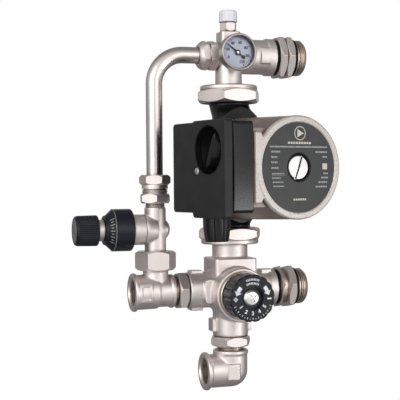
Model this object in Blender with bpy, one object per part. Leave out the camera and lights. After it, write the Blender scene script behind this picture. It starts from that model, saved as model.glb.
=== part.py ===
"""Pump and mixing group for an underfloor heating manifold.

The group's pipework lies in the XZ plane. Z = 0 is the axis of the lower run and X = 0 is the plane
of the two manifold connections on the right. Lengths are written in millimetres, and add_part()
scales each finished mesh to metres.
"""

import math

import bmesh
import bpy
from mathutils import Matrix, Vector

MM = 0.001
GAP = 0.3            # between pieces that touch

# Driving dimensions, in millimetres
PUMP_X = -72.0       # vertical axis through the pump and the mixing valve
COLUMN_X = -143.2    # vertical axis of the bypass pipe and its valve
TOP_Z = 213.5        # axis of the upper run
PORT_MIDDLE_Z = 113.5
PORT_HALF = 65.0     # the pump is 130 mm from port to port
MOTOR_Z = 110.0      # the motor sits a little below the middle of the ports
MOTOR_TURN = math.radians(14.0)
RUN_END_X = -29.5    # right end of both cast bodies
BYPASS_Z = 56.2      # axis of the bypass valve's knob
ELBOW_Z = -75.0      # axis of the lowest connection
KNOB_Z = -3.2        # the mixing knob sits a little below its run
PIPE_RADIUS = 7.5
PIPE_BEND = 27.0
THERMOMETER_Z = TOP_Z + 0.8
UNION_TURN = math.radians(3.5)   # where the union nuts' corners stand

ROUND = 18           # sides of a visible round piece
SMALL = 12           # sides of a small or hidden one

# Frames to place turned pieces in: local Z is the piece's own axis
ALONG_X = Matrix.Rotation(math.radians(90), 4, "Y")
ALONG_MINUS_X = Matrix.Rotation(math.radians(-90), 4, "Y")
ALONG_FRONT = Matrix.Rotation(math.radians(90), 4, "X")
UPRIGHT = Matrix.Identity(4)
# Pump frame: X to the right of the motor's face, Y up, Z along the motor's axis towards the front
PUMP = (
    Matrix.Translation((PUMP_X, 0, MOTOR_Z))
    @ Matrix.Rotation(MOTOR_TURN, 4, "Z")
    @ ALONG_FRONT
)

MATERIALS = {
    "nickel_brass": ((0.60, 0.55, 0.52), 0.38, 1.0),
    "nickel_pipe": ((0.58, 0.53, 0.50), 0.22, 1.0),
    "bright_steel": ((0.80, 0.80, 0.82), 0.18, 1.0),
    "copper": ((0.72, 0.36, 0.22), 0.35, 1.0),
    "black_iron": ((0.015, 0.015, 0.016), 0.45, 0.0),
    "motor_aluminium": ((0.20, 0.17, 0.15), 0.45, 0.8),
    "front_aluminium": ((0.72, 0.68, 0.64), 0.45, 0.6),
    "grey_label": ((0.075, 0.08, 0.08), 0.5, 0.0),
    "dark_plastic": ((0.035, 0.035, 0.037), 0.5, 0.0),
    "blue_black_plastic": ((0.012, 0.014, 0.022), 0.4, 0.0),
    "white_plastic": ((0.85, 0.86, 0.88), 0.4, 0.0),
    "rubber": ((0.015, 0.015, 0.015), 0.8, 0.0),
    "dial_white": ((0.62, 0.65, 0.72), 0.5, 0.0),
    "clear_lens": ((0.9, 0.92, 0.95), 0.05, 0.0),
}


def clear_scene():
    for obj in list(bpy.data.objects):
        bpy.data.objects.remove(obj, do_unlink=True)


def material(name):
    found = bpy.data.materials.get(name)
    if found:
        return found
    colour, roughness, metallic = MATERIALS[name]
    made = bpy.data.materials.new(name)
    made.use_nodes = True
    shader = made.node_tree.nodes["Principled BSDF"]
    shader.inputs["Base Color"].default_value = (*colour, 1.0)
    shader.inputs["Roughness"].default_value = roughness
    shader.inputs["Metallic"].default_value = metallic
    return made


def at(x, y, z, frame=UPRIGHT):
    return Matrix.Translation((x, y, z)) @ frame


# Shapes, each returned as a bmesh in millimetres

def turned(outline, place=UPRIGHT, sides=ROUND):
    """A closed outline of (radius, height) points turned about the place's Z axis."""
    bm = bmesh.new()
    points = [bm.verts.new((radius, 0.0, height)) for radius, height in outline]
    edges = [bm.edges.new((a, b)) for a, b in zip(points, points[1:] + points[:1])]
    on_axis = [e for e in edges if all(abs(v.co.x) < 1e-6 for v in e.verts)]
    bmesh.ops.delete(bm, geom=on_axis, context="EDGES")
    bmesh.ops.spin(
        bm, geom=bm.verts[:] + bm.edges[:], cent=(0, 0, 0), axis=(0, 0, 1),
        angle=math.tau, steps=sides, use_merge=True,
    )
    return tidy(bm, place)


def tidy(bm, place=UPRIGHT):
    bmesh.ops.remove_doubles(bm, verts=bm.verts, dist=1e-4)
    bmesh.ops.recalc_face_normals(bm, faces=bm.faces)
    bmesh.ops.transform(bm, matrix=place, verts=bm.verts)
    return bm


def rod(radius, start, end, place=UPRIGHT, sides=ROUND):
    return turned([(0, start), (radius, start), (radius, end), (0, end)], place, sides)


def chamfered_rod(radius, start, end, chamfer, place=UPRIGHT, sides=ROUND):
    outline = [
        (0, start), (radius - chamfer, start), (radius, start + chamfer),
        (radius, end - chamfer), (radius - chamfer, end), (0, end),
    ]
    return turned(outline, place, sides)


def ring(inner, outer, start, end, place=UPRIGHT, sides=ROUND):
    return turned([(inner, start), (outer, start), (outer, end), (inner, end)], place, sides)


def prism(corners, start, end, place=UPRIGHT):
    """Corner points (x, y) extruded along the place's Z axis."""
    bm = bmesh.new()
    face = bm.faces.new([bm.verts.new((x, y, start)) for x, y in corners])
    raised = bmesh.ops.extrude_face_region(bm, geom=[face])["geom"]
    lifted = [v for v in raised if isinstance(v, bmesh.types.BMVert)]
    bmesh.ops.translate(bm, verts=lifted, vec=(0, 0, end - start))
    return tidy(bm, place)


def block(low, high, place=UPRIGHT):
    corners = [(low[0], low[1]), (high[0], low[1]), (high[0], high[1]), (low[0], high[1])]
    return prism(corners, low[2], high[2], place)


def rounded_corners(width, height, radius, steps=4, centre=(0, 0)):
    corners = []
    for quarter, (sx, sy) in enumerate([(1, 1), (-1, 1), (-1, -1), (1, -1)]):
        cx = centre[0] + sx * (width / 2 - radius)
        cy = centre[1] + sy * (height / 2 - radius)
        for i in range(steps + 1):
            angle = math.radians(90 * quarter + 90 * i / steps)
            corners.append((cx + radius * math.cos(angle), cy + radius * math.sin(angle)))
    return corners


def hexagon(across_flats, start, end, place=UPRIGHT, turn=0.0):
    """A length of hexagonal bar."""
    reach = across_flats / math.sqrt(3)
    corners = [
        (reach * math.cos(turn + math.tau * i / 6), reach * math.sin(turn + math.tau * i / 6))
        for i in range(6)
    ]
    return prism(corners, start, end, place)


def combine(base, tool, operation):
    """One bmesh joined with, cut by or kept inside another; both are used up."""
    holders = []
    for bm in (base, tool):
        mesh = bpy.data.meshes.new("work")
        bm.to_mesh(mesh)
        bm.free()
        holders.append(bpy.data.objects.new("work", mesh))
        bpy.context.collection.objects.link(holders[-1])
    step = holders[0].modifiers.new("step", "BOOLEAN")
    step.operation = operation
    step.solver = "EXACT"
    step.object = holders[1]
    result = bmesh.new()
    result.from_object(holders[0], bpy.context.evaluated_depsgraph_get())
    for holder in holders:
        mesh = holder.data
        bpy.data.objects.remove(holder)
        bpy.data.meshes.remove(mesh)
    bmesh.ops.remove_doubles(result, verts=result.verts, dist=1e-3)
    bmesh.ops.dissolve_degenerate(result, edges=result.edges, dist=1e-3)
    return result


def join(first, *others):
    for other in others:
        first = combine(first, other, "UNION")
    return first


def cut(first, *tools):
    for tool in tools:
        first = combine(first, tool, "DIFFERENCE")
    return first


def lofted(rings, place=UPRIGHT):
    """A rod through rings of points, closed by a flat face at each end."""
    bm = bmesh.new()
    loops = [[bm.verts.new(point) for point in points] for points in rings]
    for first, second in zip(loops, loops[1:]):
        for k, corner in enumerate(first):
            after = (k + 1) % len(first)
            bm.faces.new((corner, first[after], second[after], second[k]))
    bm.faces.new(loops[0])
    bm.faces.new(loops[-1])
    return tidy(bm, place)


def bent_rod(radius, start_x, end_z, sides=16, bend_steps=6):
    """A rod that runs left along the upper run, turns down the bypass column and ends at end_z."""
    bend = Vector((COLUMN_X + PIPE_BEND, 0, TOP_Z - PIPE_BEND))
    stations = [(Vector((start_x, 0, TOP_Z)), 0.0)]
    for i in range(bend_steps + 1):
        angle = math.radians(90 * i / bend_steps)
        reach = Vector((-math.sin(angle), 0, math.cos(angle)))
        stations.append((bend + reach * PIPE_BEND, angle))
    stations.append((Vector((COLUMN_X, 0, end_z)), math.radians(90)))
    rings = []
    for centre, angle in stations:
        outward = Vector((-math.sin(angle), 0, math.cos(angle)))
        turns = [math.tau * k / sides for k in range(sides)]
        rings.append(
            [centre + radius * (outward * math.cos(t) + Vector((0, 1, 0)) * math.sin(t))
             for t in turns]
        )
    return lofted(rings)


def add_part(name, bm, material_name, origin=(0.0, 0.0, 0.0)):
    """A named object in metres with its origin, in millimetres, where asked."""
    bmesh.ops.transform(bm, matrix=Matrix.Translation(-Vector(origin)), verts=bm.verts)
    bmesh.ops.scale(bm, vec=(MM, MM, MM), verts=bm.verts)
    bmesh.ops.recalc_face_normals(bm, faces=bm.faces)
    mesh = bpy.data.meshes.new(name)
    bm.to_mesh(mesh)
    bm.free()
    mesh.materials.append(material(material_name))
    mesh.shade_smooth()
    mesh.set_sharp_from_angle(angle=math.radians(32))
    obj = bpy.data.objects.new(name, mesh)
    obj.location = Vector(origin) * MM
    bpy.context.collection.objects.link(obj)
    return obj


# Manifold connections, the same at the top and at the bottom

def outlet(prefix, z, turn):
    """Threaded nipple with its hexagon, lock nut and O-ring, ending in the plane X = 0."""
    place = at(0, 0, z, ALONG_X)
    nipple = turned(
        [(11.5, -43), (14.4, -43), (14.4, -9), (16.6, -9), (16.6, -1), (15.8, 0), (11.5, 0)],
        place,
    )
    spanner = cut(hexagon(36.5, -19.4, -12, place, turn), rod(13.5, -20, -11, place))
    add_part(f"{prefix}_outlet_nipple", join(nipple, spanner), "nickel_brass")
    nut = hexagon(36.5, -27, -19.4 - GAP, place, turn)
    add_part(f"{prefix}_outlet_lock_nut", cut(nut, rod(15.3, -30, -18, place)), "nickel_brass")
    add_part(f"{prefix}_outlet_o_ring", ring(14.7, 17.5, -11.7, -9.3, place), "rubber")


# Upper run: cast tee with the air vent and the thermometer

def top_tee():
    along = at(PUMP_X, 0, TOP_Z, ALONG_X)
    up = at(PUMP_X, 0, 0)
    front = at(PUMP_X, 0, THERMOMETER_Z, ALONG_FRONT)
    run_end = RUN_END_X - PUMP_X
    run = turned(
        [
            (0, -9), (12, -9), (16, -2), (16, run_end - 8), (17, run_end - 7), (17, run_end),
            (0, run_end),
        ],
        along,
    )
    spigot = rod(10.2, -22, -8.5, along, SMALL)
    neck = turned([(0, 180.9), (22.3, 180.9), (22.3, 183.2), (12, 183.2), (12, 214), (0, 214)], up)
    boss = prism(rounded_corners(19, 19, 4, 2), TOP_Z, 235.6, up)
    socket = turned([(0, 0), (10.5, 0), (10.5, 15), (9.2, 18.5), (0, 18.5)], front)
    body = join(run, spigot, neck, boss, socket)
    hollow = join(
        turned(
            [(0, -14), (6.2, -14), (6.2, 0), (12.5, 4), (12.5, run_end - 14),
             (15.3, run_end - 14), (15.3, run_end + 2), (0, run_end + 2)], along),
        rod(7.8, -24, -13, along, SMALL),
        rod(9.3, 178, 212, up, SMALL),
        rod(4.9, 212, 238, up, SMALL),
        rod(5.3, 0, 20, front, SMALL),
    )
    add_part("top_tee_body", cut(body, hollow), "nickel_brass")


def air_vent():
    up = at(PUMP_X, 0, 0)
    stem = join(
        hexagon(14.0, 235.6 + GAP, 244.0, up),
        rod(4.6, 228, 236.2, up, SMALL),
        rod(4.6, 243.5, 249.5, up, SMALL),
    )
    add_part("vent_body", cut(stem, rod(1.8, 227, 251, up, 8)), "nickel_brass")
    cap = turned(
        [(0, 251.5), (4.9, 251.5), (4.9, 244.6), (8.3, 244.6), (8.75, 245.2), (8.75, 254.2),
         (8.0, 255.3), (0, 255.5)],
        up,
    )
    add_part("vent_cap", cap, "white_plastic", (PUMP_X, 0, 245))


def thermometer():
    """Dial thermometer that screws into the front of the tee; local heights run to the front."""
    front = at(PUMP_X, 0, THERMOMETER_Z, ALONG_FRONT)
    case = turned(
        [
            (0, 4), (4.9, 4), (4.9, 18.9), (15.9, 19.2), (15.9, 27.0), (14.9, 27.0), (14.9, 22.2),
            (1.0, 22.2), (1.0, 18.0), (0, 18.0),
        ],
        front,
    )
    add_part("thermometer_case", case, "bright_steel")
    bezel = turned(
        [(16.2, 21), (16.8, 21), (16.8, 29.2), (16.0, 30), (15.0, 30), (14.2, 28.4),
         (16.2, 28.4)],
        front,
    )
    add_part("thermometer_bezel", bezel, "bright_steel")
    add_part("thermometer_dial", ring(1.3, 14.5, 22.6, 23.6, front), "dial_white")
    add_part("thermometer_lens", rod(15.6, 27.3, 28.1, front), "clear_lens")
    pointer = [(-0.5, -5.5), (0.5, -5.5), (0.9, 0), (0.25, 12.6), (-0.25, 12.6), (-0.9, 0)]
    turn = Matrix.Rotation(math.radians(52), 4, "Z")
    needle = join(
        prism(pointer, 24.4, 24.9, front @ turn),
        rod(1.7, 24.2, 25.6, front, SMALL),
        rod(0.7, 18.6, 24.5, front, 8),
    )
    add_part("thermometer_needle", needle, "rubber", (PUMP_X, -25, THERMOMETER_Z))


# Bypass: pipe, its compression fittings and the differential valve below it

def bypass_pipe():
    start_x = PUMP_X - 13 - GAP
    outside = bent_rod(PIPE_RADIUS, start_x, 87.3)
    inside = bent_rod(PIPE_RADIUS - 1.0, start_x + 2, 85.3)
    add_part("bypass_pipe", cut(outside, inside), "nickel_pipe")


def compression_nut(name, place, length, skirt, turn):
    """Nut over the pipe: local heights run from its open end to the end that the pipe leaves by."""
    nut = hexagon(24.6, skirt, length, place, turn)
    if skirt > 0:
        nut = join(nut, rod(11.9, 0, skirt + 0.5, place))
    hollow = turned([(0, -1), (10.6, -1), (10.6, length - 4), (8, length - 1.9), (8, length + 1),
                     (0, length + 1)], place, SMALL)
    add_part(name, cut(nut, hollow), "nickel_brass")


def compression_ring(name, place):
    profile = [(7.8, 0), (8.4, 0), (10.1, 1.8), (10.1, 2.6), (8.3, 4.0), (7.8, 4.0)]
    add_part(name, turned(profile, place, SMALL), "copper")


def pipe_fittings():
    left = at(PUMP_X - 12.4, 0, TOP_Z, ALONG_MINUS_X)
    compression_nut("top_pipe_nut", left, 17.6, 0, math.radians(10))
    compression_ring("top_pipe_ferrule", at(PUMP_X - 22 - GAP, 0, TOP_Z, ALONG_MINUS_X))
    up = at(COLUMN_X, 0, 0)
    compression_nut("lower_pipe_nut", at(COLUMN_X, 0, 92.6), 12.6, 3.6, math.radians(41))
    compression_ring("lower_pipe_ferrule", at(COLUMN_X, 0, 98.8))
    adapter = join(
        hexagon(25.0, 79.6, 88.4, up, math.radians(21)),
        rod(11.9, 88.0, 92.3, up),
        rod(10.2, 92.0, 98.5, up, SMALL),
        rod(8.2, 66.0, 80.0, up, SMALL),
    )
    bore = turned(
        [(0, 64), (6.3, 64), (6.3, 86.9), (7.8, 86.9), (7.8, 100), (0, 100)], up, SMALL)
    add_part("lower_pipe_adapter", cut(adapter, bore), "nickel_brass")


def bypass_valve():
    up = at(COLUMN_X, 0, 0)
    side = at(COLUMN_X, 0, BYPASS_Z, ALONG_MINUS_X)
    column = turned(
        [(0, 32.3), (14.6, 32.3), (14.6, 34.5), (9.65, 34.5), (9.65, 75.5), (9.0, 76.2),
         (0, 76.2)], up)
    bulge = turned([(0, -12.5), (6, -12.2), (8.6, -10.5), (8.6, 0), (0, 0)], side)
    boss = turned([(0, 0), (12.5, 0), (13.6, 8), (13.6, 11), (0, 11)], side)
    hollow = join(
        rod(7.0, 30, 64, up, SMALL),
        rod(8.5, 64, 78, up, SMALL),
        rod(9.3, 0, 12, side, SMALL),
    )
    add_part("bypass_valve_body", cut(join(column, bulge, boss), hollow), "nickel_brass")

    bonnet = turned(
        [
            (7.2, 7), (8.7, 7), (8.7, 11.3), (13.7, 11.3), (13.7, 23.5), (12, 24.5), (12, 30),
            (3.9, 30), (3.9, 20), (7.2, 20),
        ],
        side,
    )
    add_part("bypass_bonnet", bonnet, "nickel_brass")
    collar = turned(
        [
            (14.0, 22.6), (17.4, 22.6), (18.9, 24.5), (18.9, 40), (13.2, 43.5), (12.4, 47.5),
            (8.4, 47.5), (8.4, 30.3), (14.0, 30.3),
        ],
        side,
    )
    add_part("bypass_scale_collar", collar, "dark_plastic")

    knob = turned(
        [
            (0, 33), (3.0, 33), (3.0, 47.9), (7.9, 47.9), (7.9, 53.5), (13.2, 53.5), (13.8, 54.5),
            (13.8, 71.5), (11.5, 74), (0, 74),
        ],
        side,
    )
    add_part("bypass_knob", knob, "blue_black_plastic", (COLUMN_X - 60, 0, BYPASS_Z))
    plunger = turned([(0, 13), (3.4, 13), (3.4, 17.2), (6.7, 17.2), (6.7, 18.4), (3.4, 18.4),
                      (3.4, 29), (0, 29)], side, SMALL)
    add_part("bypass_plunger", plunger, "nickel_brass", (COLUMN_X - 16, 0, BYPASS_Z))
    add_part("bypass_spring", coil(5.4, 0.55, 6.0, 13.0, 5, side), "bright_steel")


def coil(radius, wire, start, end, turns, place, steps=8, sides=4):
    """A round-wire helix."""
    count = turns * steps
    rings = []
    for i in range(count + 1):
        angle = math.tau * i / steps
        outward = Vector((math.cos(angle), math.sin(angle), 0))
        centre = outward * radius + Vector((0, 0, start + (end - start) * i / count))
        turns_round = [math.tau * k / sides for k in range(sides)]
        rings.append(
            [centre + wire * (outward * math.cos(t) + Vector((0, 0, 1)) * math.sin(t))
             for t in turns_round]
        )
    return lofted(rings, place)


# Lower run: tee, nipple and the thermostatic mixing valve

def return_tee():
    along = at(COLUMN_X, 0, 0, ALONG_X)
    up = at(COLUMN_X, 0, 0)
    run = turned(
        [
            (0, -22.5), (16.4, -22.5), (17.3, -21.6), (17.3, -18.8), (15.6, -17.8), (15.4, 0),
            (14.0, 1.5), (14.0, 11.5), (15.2, 12.5), (15.2, 15.4), (14.6, 16), (0, 16),
        ],
        along,
    )
    neck = turned(
        [(0, 0), (11.4, 0), (11.4, 19.2), (14.8, 19.6), (14.8, 30.0), (0, 30.0)], up)
    hollow = join(
        turned(
            [(0, -24), (13.0, -24), (13.0, -22.5), (12.2, -21.5), (12.2, -9), (9.5, -9),
             (9.5, 5), (12.2, 5), (12.2, 18), (0, 18)],
            along),
        rod(8.0, 0, 32, up, SMALL),
    )
    add_part("return_tee", cut(join(run, neck), hollow), "nickel_brass")
    add_part("bypass_union_gasket", ring(8.5, 14.4, 30 + GAP, 32.3 - GAP, up, SMALL), "rubber")
    nut = hexagon(32.5, 19.6, 36.9, up, math.radians(54))
    bore = turned(
        [(0, 18), (15.1, 18), (15.1, 34.8), (10.0, 34.8), (10.0, 38), (0, 38)], up)
    add_part("bypass_union_nut", cut(nut, bore), "nickel_brass")


def return_nipple():
    along = at(PUMP_X, 0, 0, ALONG_X)
    nipple = join(
        hexagon(31.0, -52.4, -43.4, along, math.radians(21)),
        rod(11.9, -63, -52, along),
        rod(13.2, -44, -32, along),
    )
    add_part("return_nipple", cut(nipple, rod(9.5, -65, -30, along, SMALL)), "nickel_brass")


def mixing_valve():
    along = at(PUMP_X, 0, 0, ALONG_X)
    up = at(PUMP_X, 0, 0)
    front = at(PUMP_X, 0, KNOB_Z, ALONG_FRONT)
    run_end = RUN_END_X - PUMP_X
    run = turned(
        [
            (0, -42.7), (15.8, -42.7), (16.5, -42), (16.5, run_end - 9), (17.3, run_end - 8),
            (17.3, run_end - 1), (16.6, run_end), (0, run_end),
        ],
        along,
    )
    upright = turned(
        [
            (0, -43), (15.6, -43), (16.3, -42.3), (16.3, 29), (16.3, 42.5), (22.3, 44.8),
            (22.3, 46.1), (0, 46.1),
        ],
        up,
    )
    shoulder = prism(rounded_corners(40, 38, 4, 2), 0, 29, up)
    chest = turned(
        [(0, -21), (17, -21), (21, -17), (24.4, 10), (24.4, 32.5), (23.4, 33.6), (0, 33.6)],
        front)
    cheek = block((-26.5, -13, -15), (0, 13, 15), up)
    pads = [
        block((side * 17.4 - 2.2, -6.5, -38.5), (side * 17.4 + 1.6, 6.5, -26.5), up)
        for side in (-1, 1)
    ]
    port_pads = [
        block((-39, -6.5, side * 16.4 - 2), (-28, 6.5, side * 16.4 + 2), up) for side in (-1, 1)
    ]
    body = join(run, upright, shoulder, chest, cheek, *pads, *port_pads)
    hollow = join(
        turned(
            [(0, -44), (13.5, -44), (13.5, -31), (10.5, -31), (10.5, 0), (12.5, 4),
             (12.5, run_end - 14), (15.3, run_end - 14), (15.3, run_end + 2), (0, run_end + 2)],
            along),
        turned([(0, -45), (13.5, -45), (13.5, -32), (11.5, -32), (11.5, 48), (0, 48)], up),
        rod(17.5, -8, 35, front),
    )
    add_part("mixing_valve_body", cut(body, hollow), "nickel_brass")

    bonnet = turned(
        [
            (4.4, 20), (10.5, 20), (10.5, 26), (17.2, 26), (17.2, 33.9), (21.8, 33.9), (21.8, 37),
            (12.0, 37), (12.0, 42), (4.4, 42),
        ],
        front,
    )
    add_part("mixing_bonnet", bonnet, "nickel_brass")
    angles = [math.tau * i / 48 for i in range(48)]
    corners = [(lobed(a) * math.cos(a), lobed(a) * math.sin(a)) for a in angles]
    knob = cut(
        prism(corners, 37 + GAP, 58, front),
        rod(12.9, 36, 43.5, front, SMALL),
        rod(4.1, 43, 54.2, front, SMALL),
        rod(10.2, 53.9, 59, front, SMALL),
    )
    add_part("mixing_knob", knob, "blue_black_plastic", (PUMP_X, -47, KNOB_Z))
    screw = turned([(0, 51), (2.2, 51), (2.2, 54.3), (7.6, 54.3), (7.6, 55.2), (5.5, 57.3),
                    (0, 58.2)], front, SMALL)
    add_part("mixing_knob_screw", screw, "bright_steel", (PUMP_X, -54, KNOB_Z))
    spindle = turned([(0, 8), (5.5, 8), (5.5, 19), (3.9, 19), (3.9, 49.7), (0, 49.7)],
                     front, SMALL)
    add_part("mixing_spindle", spindle, "nickel_brass", (PUMP_X, -20, KNOB_Z))
    piston = turned([(0, -3), (4, -3), (4, 0), (15, 0), (15, 2.5), (6, 2.5), (6, 4.4), (0, 4.4)],
                    front, SMALL)
    add_part("mixing_piston", piston, "nickel_brass", (PUMP_X, 0, KNOB_Z))


def lobed(angle):
    """Radius of the mixing knob's grip: sixteen shallow lobes."""
    return 20.1 + 0.6 * math.cos(16 * angle)


def lower_connection():
    up = at(PUMP_X, 0, 0)
    nipple = join(
        hexagon(33.5, -52.4, -43.3, up, math.radians(2)),
        rod(13.2, -44, -33, up),
        rod(12.2, -66, -52, up),
    )
    add_part("lower_nipple", cut(nipple, rod(9.8, -68, -30, up, SMALL)), "nickel_brass")
    along = at(PUMP_X, 0, ELBOW_Z, ALONG_X)
    drop = turned(
        [(0, ELBOW_Z), (15.4, ELBOW_Z), (15.4, -60), (16.2, -59), (16.2, -56.4), (15.6, -55.8),
         (0, -55.8)], up)
    arm = turned(
        [(0, -26.5), (16.6, -26.5), (17.4, -25.7), (17.4, -22.8), (15.8, -21.8), (15.4, 0),
         (0, 0)], along)
    corner = elbow_corner(15.4)
    body = join(drop, arm, corner, block((-10, -17, -82), (3, -8, -68), up))
    hollow = join(
        turned([(0, -80), (9.8, -80), (9.8, -67), (12.6, -67), (12.6, -54), (0, -54)], up),
        turned([(0, -28), (13.2, -28), (13.2, -26.5), (12.4, -25.5), (12.4, -12), (9.8, -12),
                (9.8, 0), (0, 4)], along),
    )
    add_part("return_elbow", cut(body, hollow), "nickel_brass")


def elbow_corner(radius):
    """The elbow's outer corner: a ball where the two tubes meet."""
    bm = bmesh.new()
    bmesh.ops.create_uvsphere(bm, u_segments=ROUND, v_segments=10, radius=radius)
    return tidy(bm, at(PUMP_X, 0, ELBOW_Z))


# Union nuts that hold the pump, one above it and one below it

def pump_unions():
    up = at(PUMP_X, 0, 0)
    top_port = PORT_MIDDLE_Z + PORT_HALF
    upper = join(
        hexagon(53.0, 170.4, 181.6, up, UNION_TURN),
        turned([(0, 181), (25.8, 181), (26.4, 182), (26.4, 185.6), (25.4, 186.4), (0, 186.4)], up),
    )
    bore = turned([(0, 169), (23.9, 169), (23.9, 183.5), (12.4, 183.5), (12.4, 188), (0, 188)], up)
    add_part("upper_union_nut", cut(upper, bore), "nickel_brass")
    add_part("upper_union_gasket", ring(15, 22, top_port + GAP, 180.9 - GAP, up, SMALL), "rubber")
    low_port = PORT_MIDDLE_Z - PORT_HALF
    lower = join(
        hexagon(53.0, 46.2, 56.4, up, UNION_TURN),
        turned([(0, 41.6), (25.4, 41.6), (26.4, 42.4), (26.4, 46), (25.8, 47), (0, 47)], up),
    )
    bore = turned(
        [(0, 40), (16.7, 40), (16.7, 42.6), (22.8, 44.6), (23.9, 46.2), (23.9, 58), (0, 58)], up)
    add_part("lower_union_nut", cut(lower, bore), "nickel_brass")
    add_part("lower_union_gasket", ring(15, 22, 46.1 + GAP, low_port - GAP, up, SMALL), "rubber")


# Circulator: pump housing, wet rotor, motor and terminal box

def pump_housing():
    """Volute whose ports stand on the group's axis and run forwards into the scroll."""
    up = at(PUMP_X, 0, 0)
    scroll = turned(
        [(0, -14), (20, -14), (34, -11), (42, -5), (45, 4), (45.5, 12), (45.5, 20.5),
         (0, 20.5)], PUMP)
    hollow = turned([(0, -9), (24, -9), (34, -5), (38.5, 6), (38.5, 22), (0, 22)], PUMP)
    for way in (1, -1):
        port = PORT_MIDDLE_Z + way * PORT_HALF
        thread = [(0, port), (22.8, port), (23.5, port - way * 0.7), (23.5, port - way * 8),
                  (0, port - way * 8)]
        neck = port_neck(way, ((7, 18.5, 0), (12.5, 18.5, 1.5), (21.5, 20.8, 10), (36, 21, 8)))
        passage = port_neck(way, ((-2, 13, 0), (13, 13, 0), (23, 12.5, 5), (40, 12, 4)))
        scroll = join(scroll, turned(thread, up), neck)
        hollow = join(hollow, passage)
    scroll = cut(scroll, block((-60, -46.6, 20.5), (60, 46.6, 60), PUMP))
    add_part("pump_volute", cut(scroll, hollow), "black_iron")

    hub = turned([(3.2, -6), (8, -6), (8, 5), (30, 8), (30, 10), (3.2, 10)], PUMP, SMALL)
    eye = ring(14, 30, 0.4, 2.2, PUMP, SMALL)
    vanes = [
        block((13, -1.0, 1.6), (29, 1.0, 8.4), PUMP @ Matrix.Rotation(math.tau * i / 6, 4, "Z"))
        for i in range(6)
    ]
    add_part("pump_impeller", join(hub, eye, *vanes), "dark_plastic", (PUMP_X, 0, MOTOR_Z))
    shaft = turned([(0, -7.5), (2.9, -7.5), (2.9, 88), (2.0, 89), (0, 89)], PUMP, SMALL)
    add_part("rotor_shaft", shaft, "bright_steel", (PUMP_X, 0, MOTOR_Z))
    add_part("rotor_core", ring(3.2, 20.5, 32, 78, PUMP, SMALL), "bright_steel",
             (PUMP_X, 0, MOTOR_Z))
    plate = turned([(3.2, 18), (8, 18), (8, 15), (21, 15), (38.2, 18.5), (38.2, 20.5), (43.8, 20.8),
                    (43.8, 22.5), (8, 22.5), (8, 26), (3.2, 26)], PUMP)
    add_part("bearing_plate", plate, "bright_steel")
    can = turned([(21.2, 22.8), (31, 22.8), (31, 23.6), (22.0, 23.6), (22.0, 88.5), (10, 90.5),
                  (10, 95.5), (8.6, 95.5), (8.6, 89.6), (21.2, 87.6)], PUMP, SMALL)
    add_part("rotor_can", can, "bright_steel")
    add_part("stator_winding", ring(22.4, 38, 30, 80, PUMP, 24), "copper")


def port_neck(way, stations):
    """Round sections (depth below the port's face, radius, distance forwards), lofted together."""
    forwards = Vector((math.sin(MOTOR_TURN), -math.cos(MOTOR_TURN), 0))
    rings = []
    for depth, radius, ahead in stations:
        height = PORT_MIDDLE_Z + way * (PORT_HALF - depth)
        centre = Vector((PUMP_X, 0, height)) + forwards * ahead
        turns = [math.tau * k / ROUND for k in range(ROUND)]
        rings.append(
            [centre + radius * Vector((math.cos(t), math.sin(t), 0)) for t in turns])
    return lofted(rings)


def motor():
    housing = turned(
        [(0, 22.8), (45.8, 22.8), (45.8, 27), (45.2, 40), (43.4, 100.5), (0, 100.5)], PUMP, 24)
    saddle = block((-50, -33, 23.5), (-20, 33, 100.1), PUMP)
    hollow = join(
        rod(39.5, 20, 92, PUMP),
        rod(12.3, 90, 103, PUMP, SMALL),
    )
    beyond_box = block((-60, -60, 20), (-44, 60, 110), PUMP)
    add_part("stator_housing", cut(join(housing, saddle), hollow, beyond_box), "motor_aluminium")
    face_place = PUMP @ at(0, 0, 1.5)

    ear = prism(
        [(-44, -29), (-38, -29), (-35.5, -24), (-28, -30), (-28, 30), (-35.5, 24), (-38, 29),
         (-44, 29)],
        99.6, 103.2, face_place)
    face = turned(
        [(0, 99.3), (43.4, 99.3), (43.8, 100), (43.8, 102.6), (42.6, 104), (0, 104)], face_place, 24)
    plate = cut(
        join(ear, face),
        turned([(0, 102.4), (37.9, 102.4), (37.9, 103.2), (39.0, 104.5), (0, 104.5)], face_place, 24),
        rod(12.6, 98, 105, face_place, SMALL),
    )
    add_part("motor_front_plate", plate, "front_aluminium")
    add_part("label_disc", ring(12.5, 37.6, 102.7, 103.3, face_place, 24), "grey_label")
    screw = cut(
        turned([(0, 96), (8.2, 96), (8.2, 100), (10.4, 100), (10.4, 102.0), (9.6, 102.9),
                (0, 103.2)], face_place, 24),
        block((-12, -0.9, 101.5), (12, 0.9, 105), face_place @ Matrix.Rotation(math.radians(70), 4, "Z")),
    )
    front = face_place @ Vector((0, 0, 100))
    add_part("pump_vent_screw", screw, "bright_steel", tuple(front))


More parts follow.
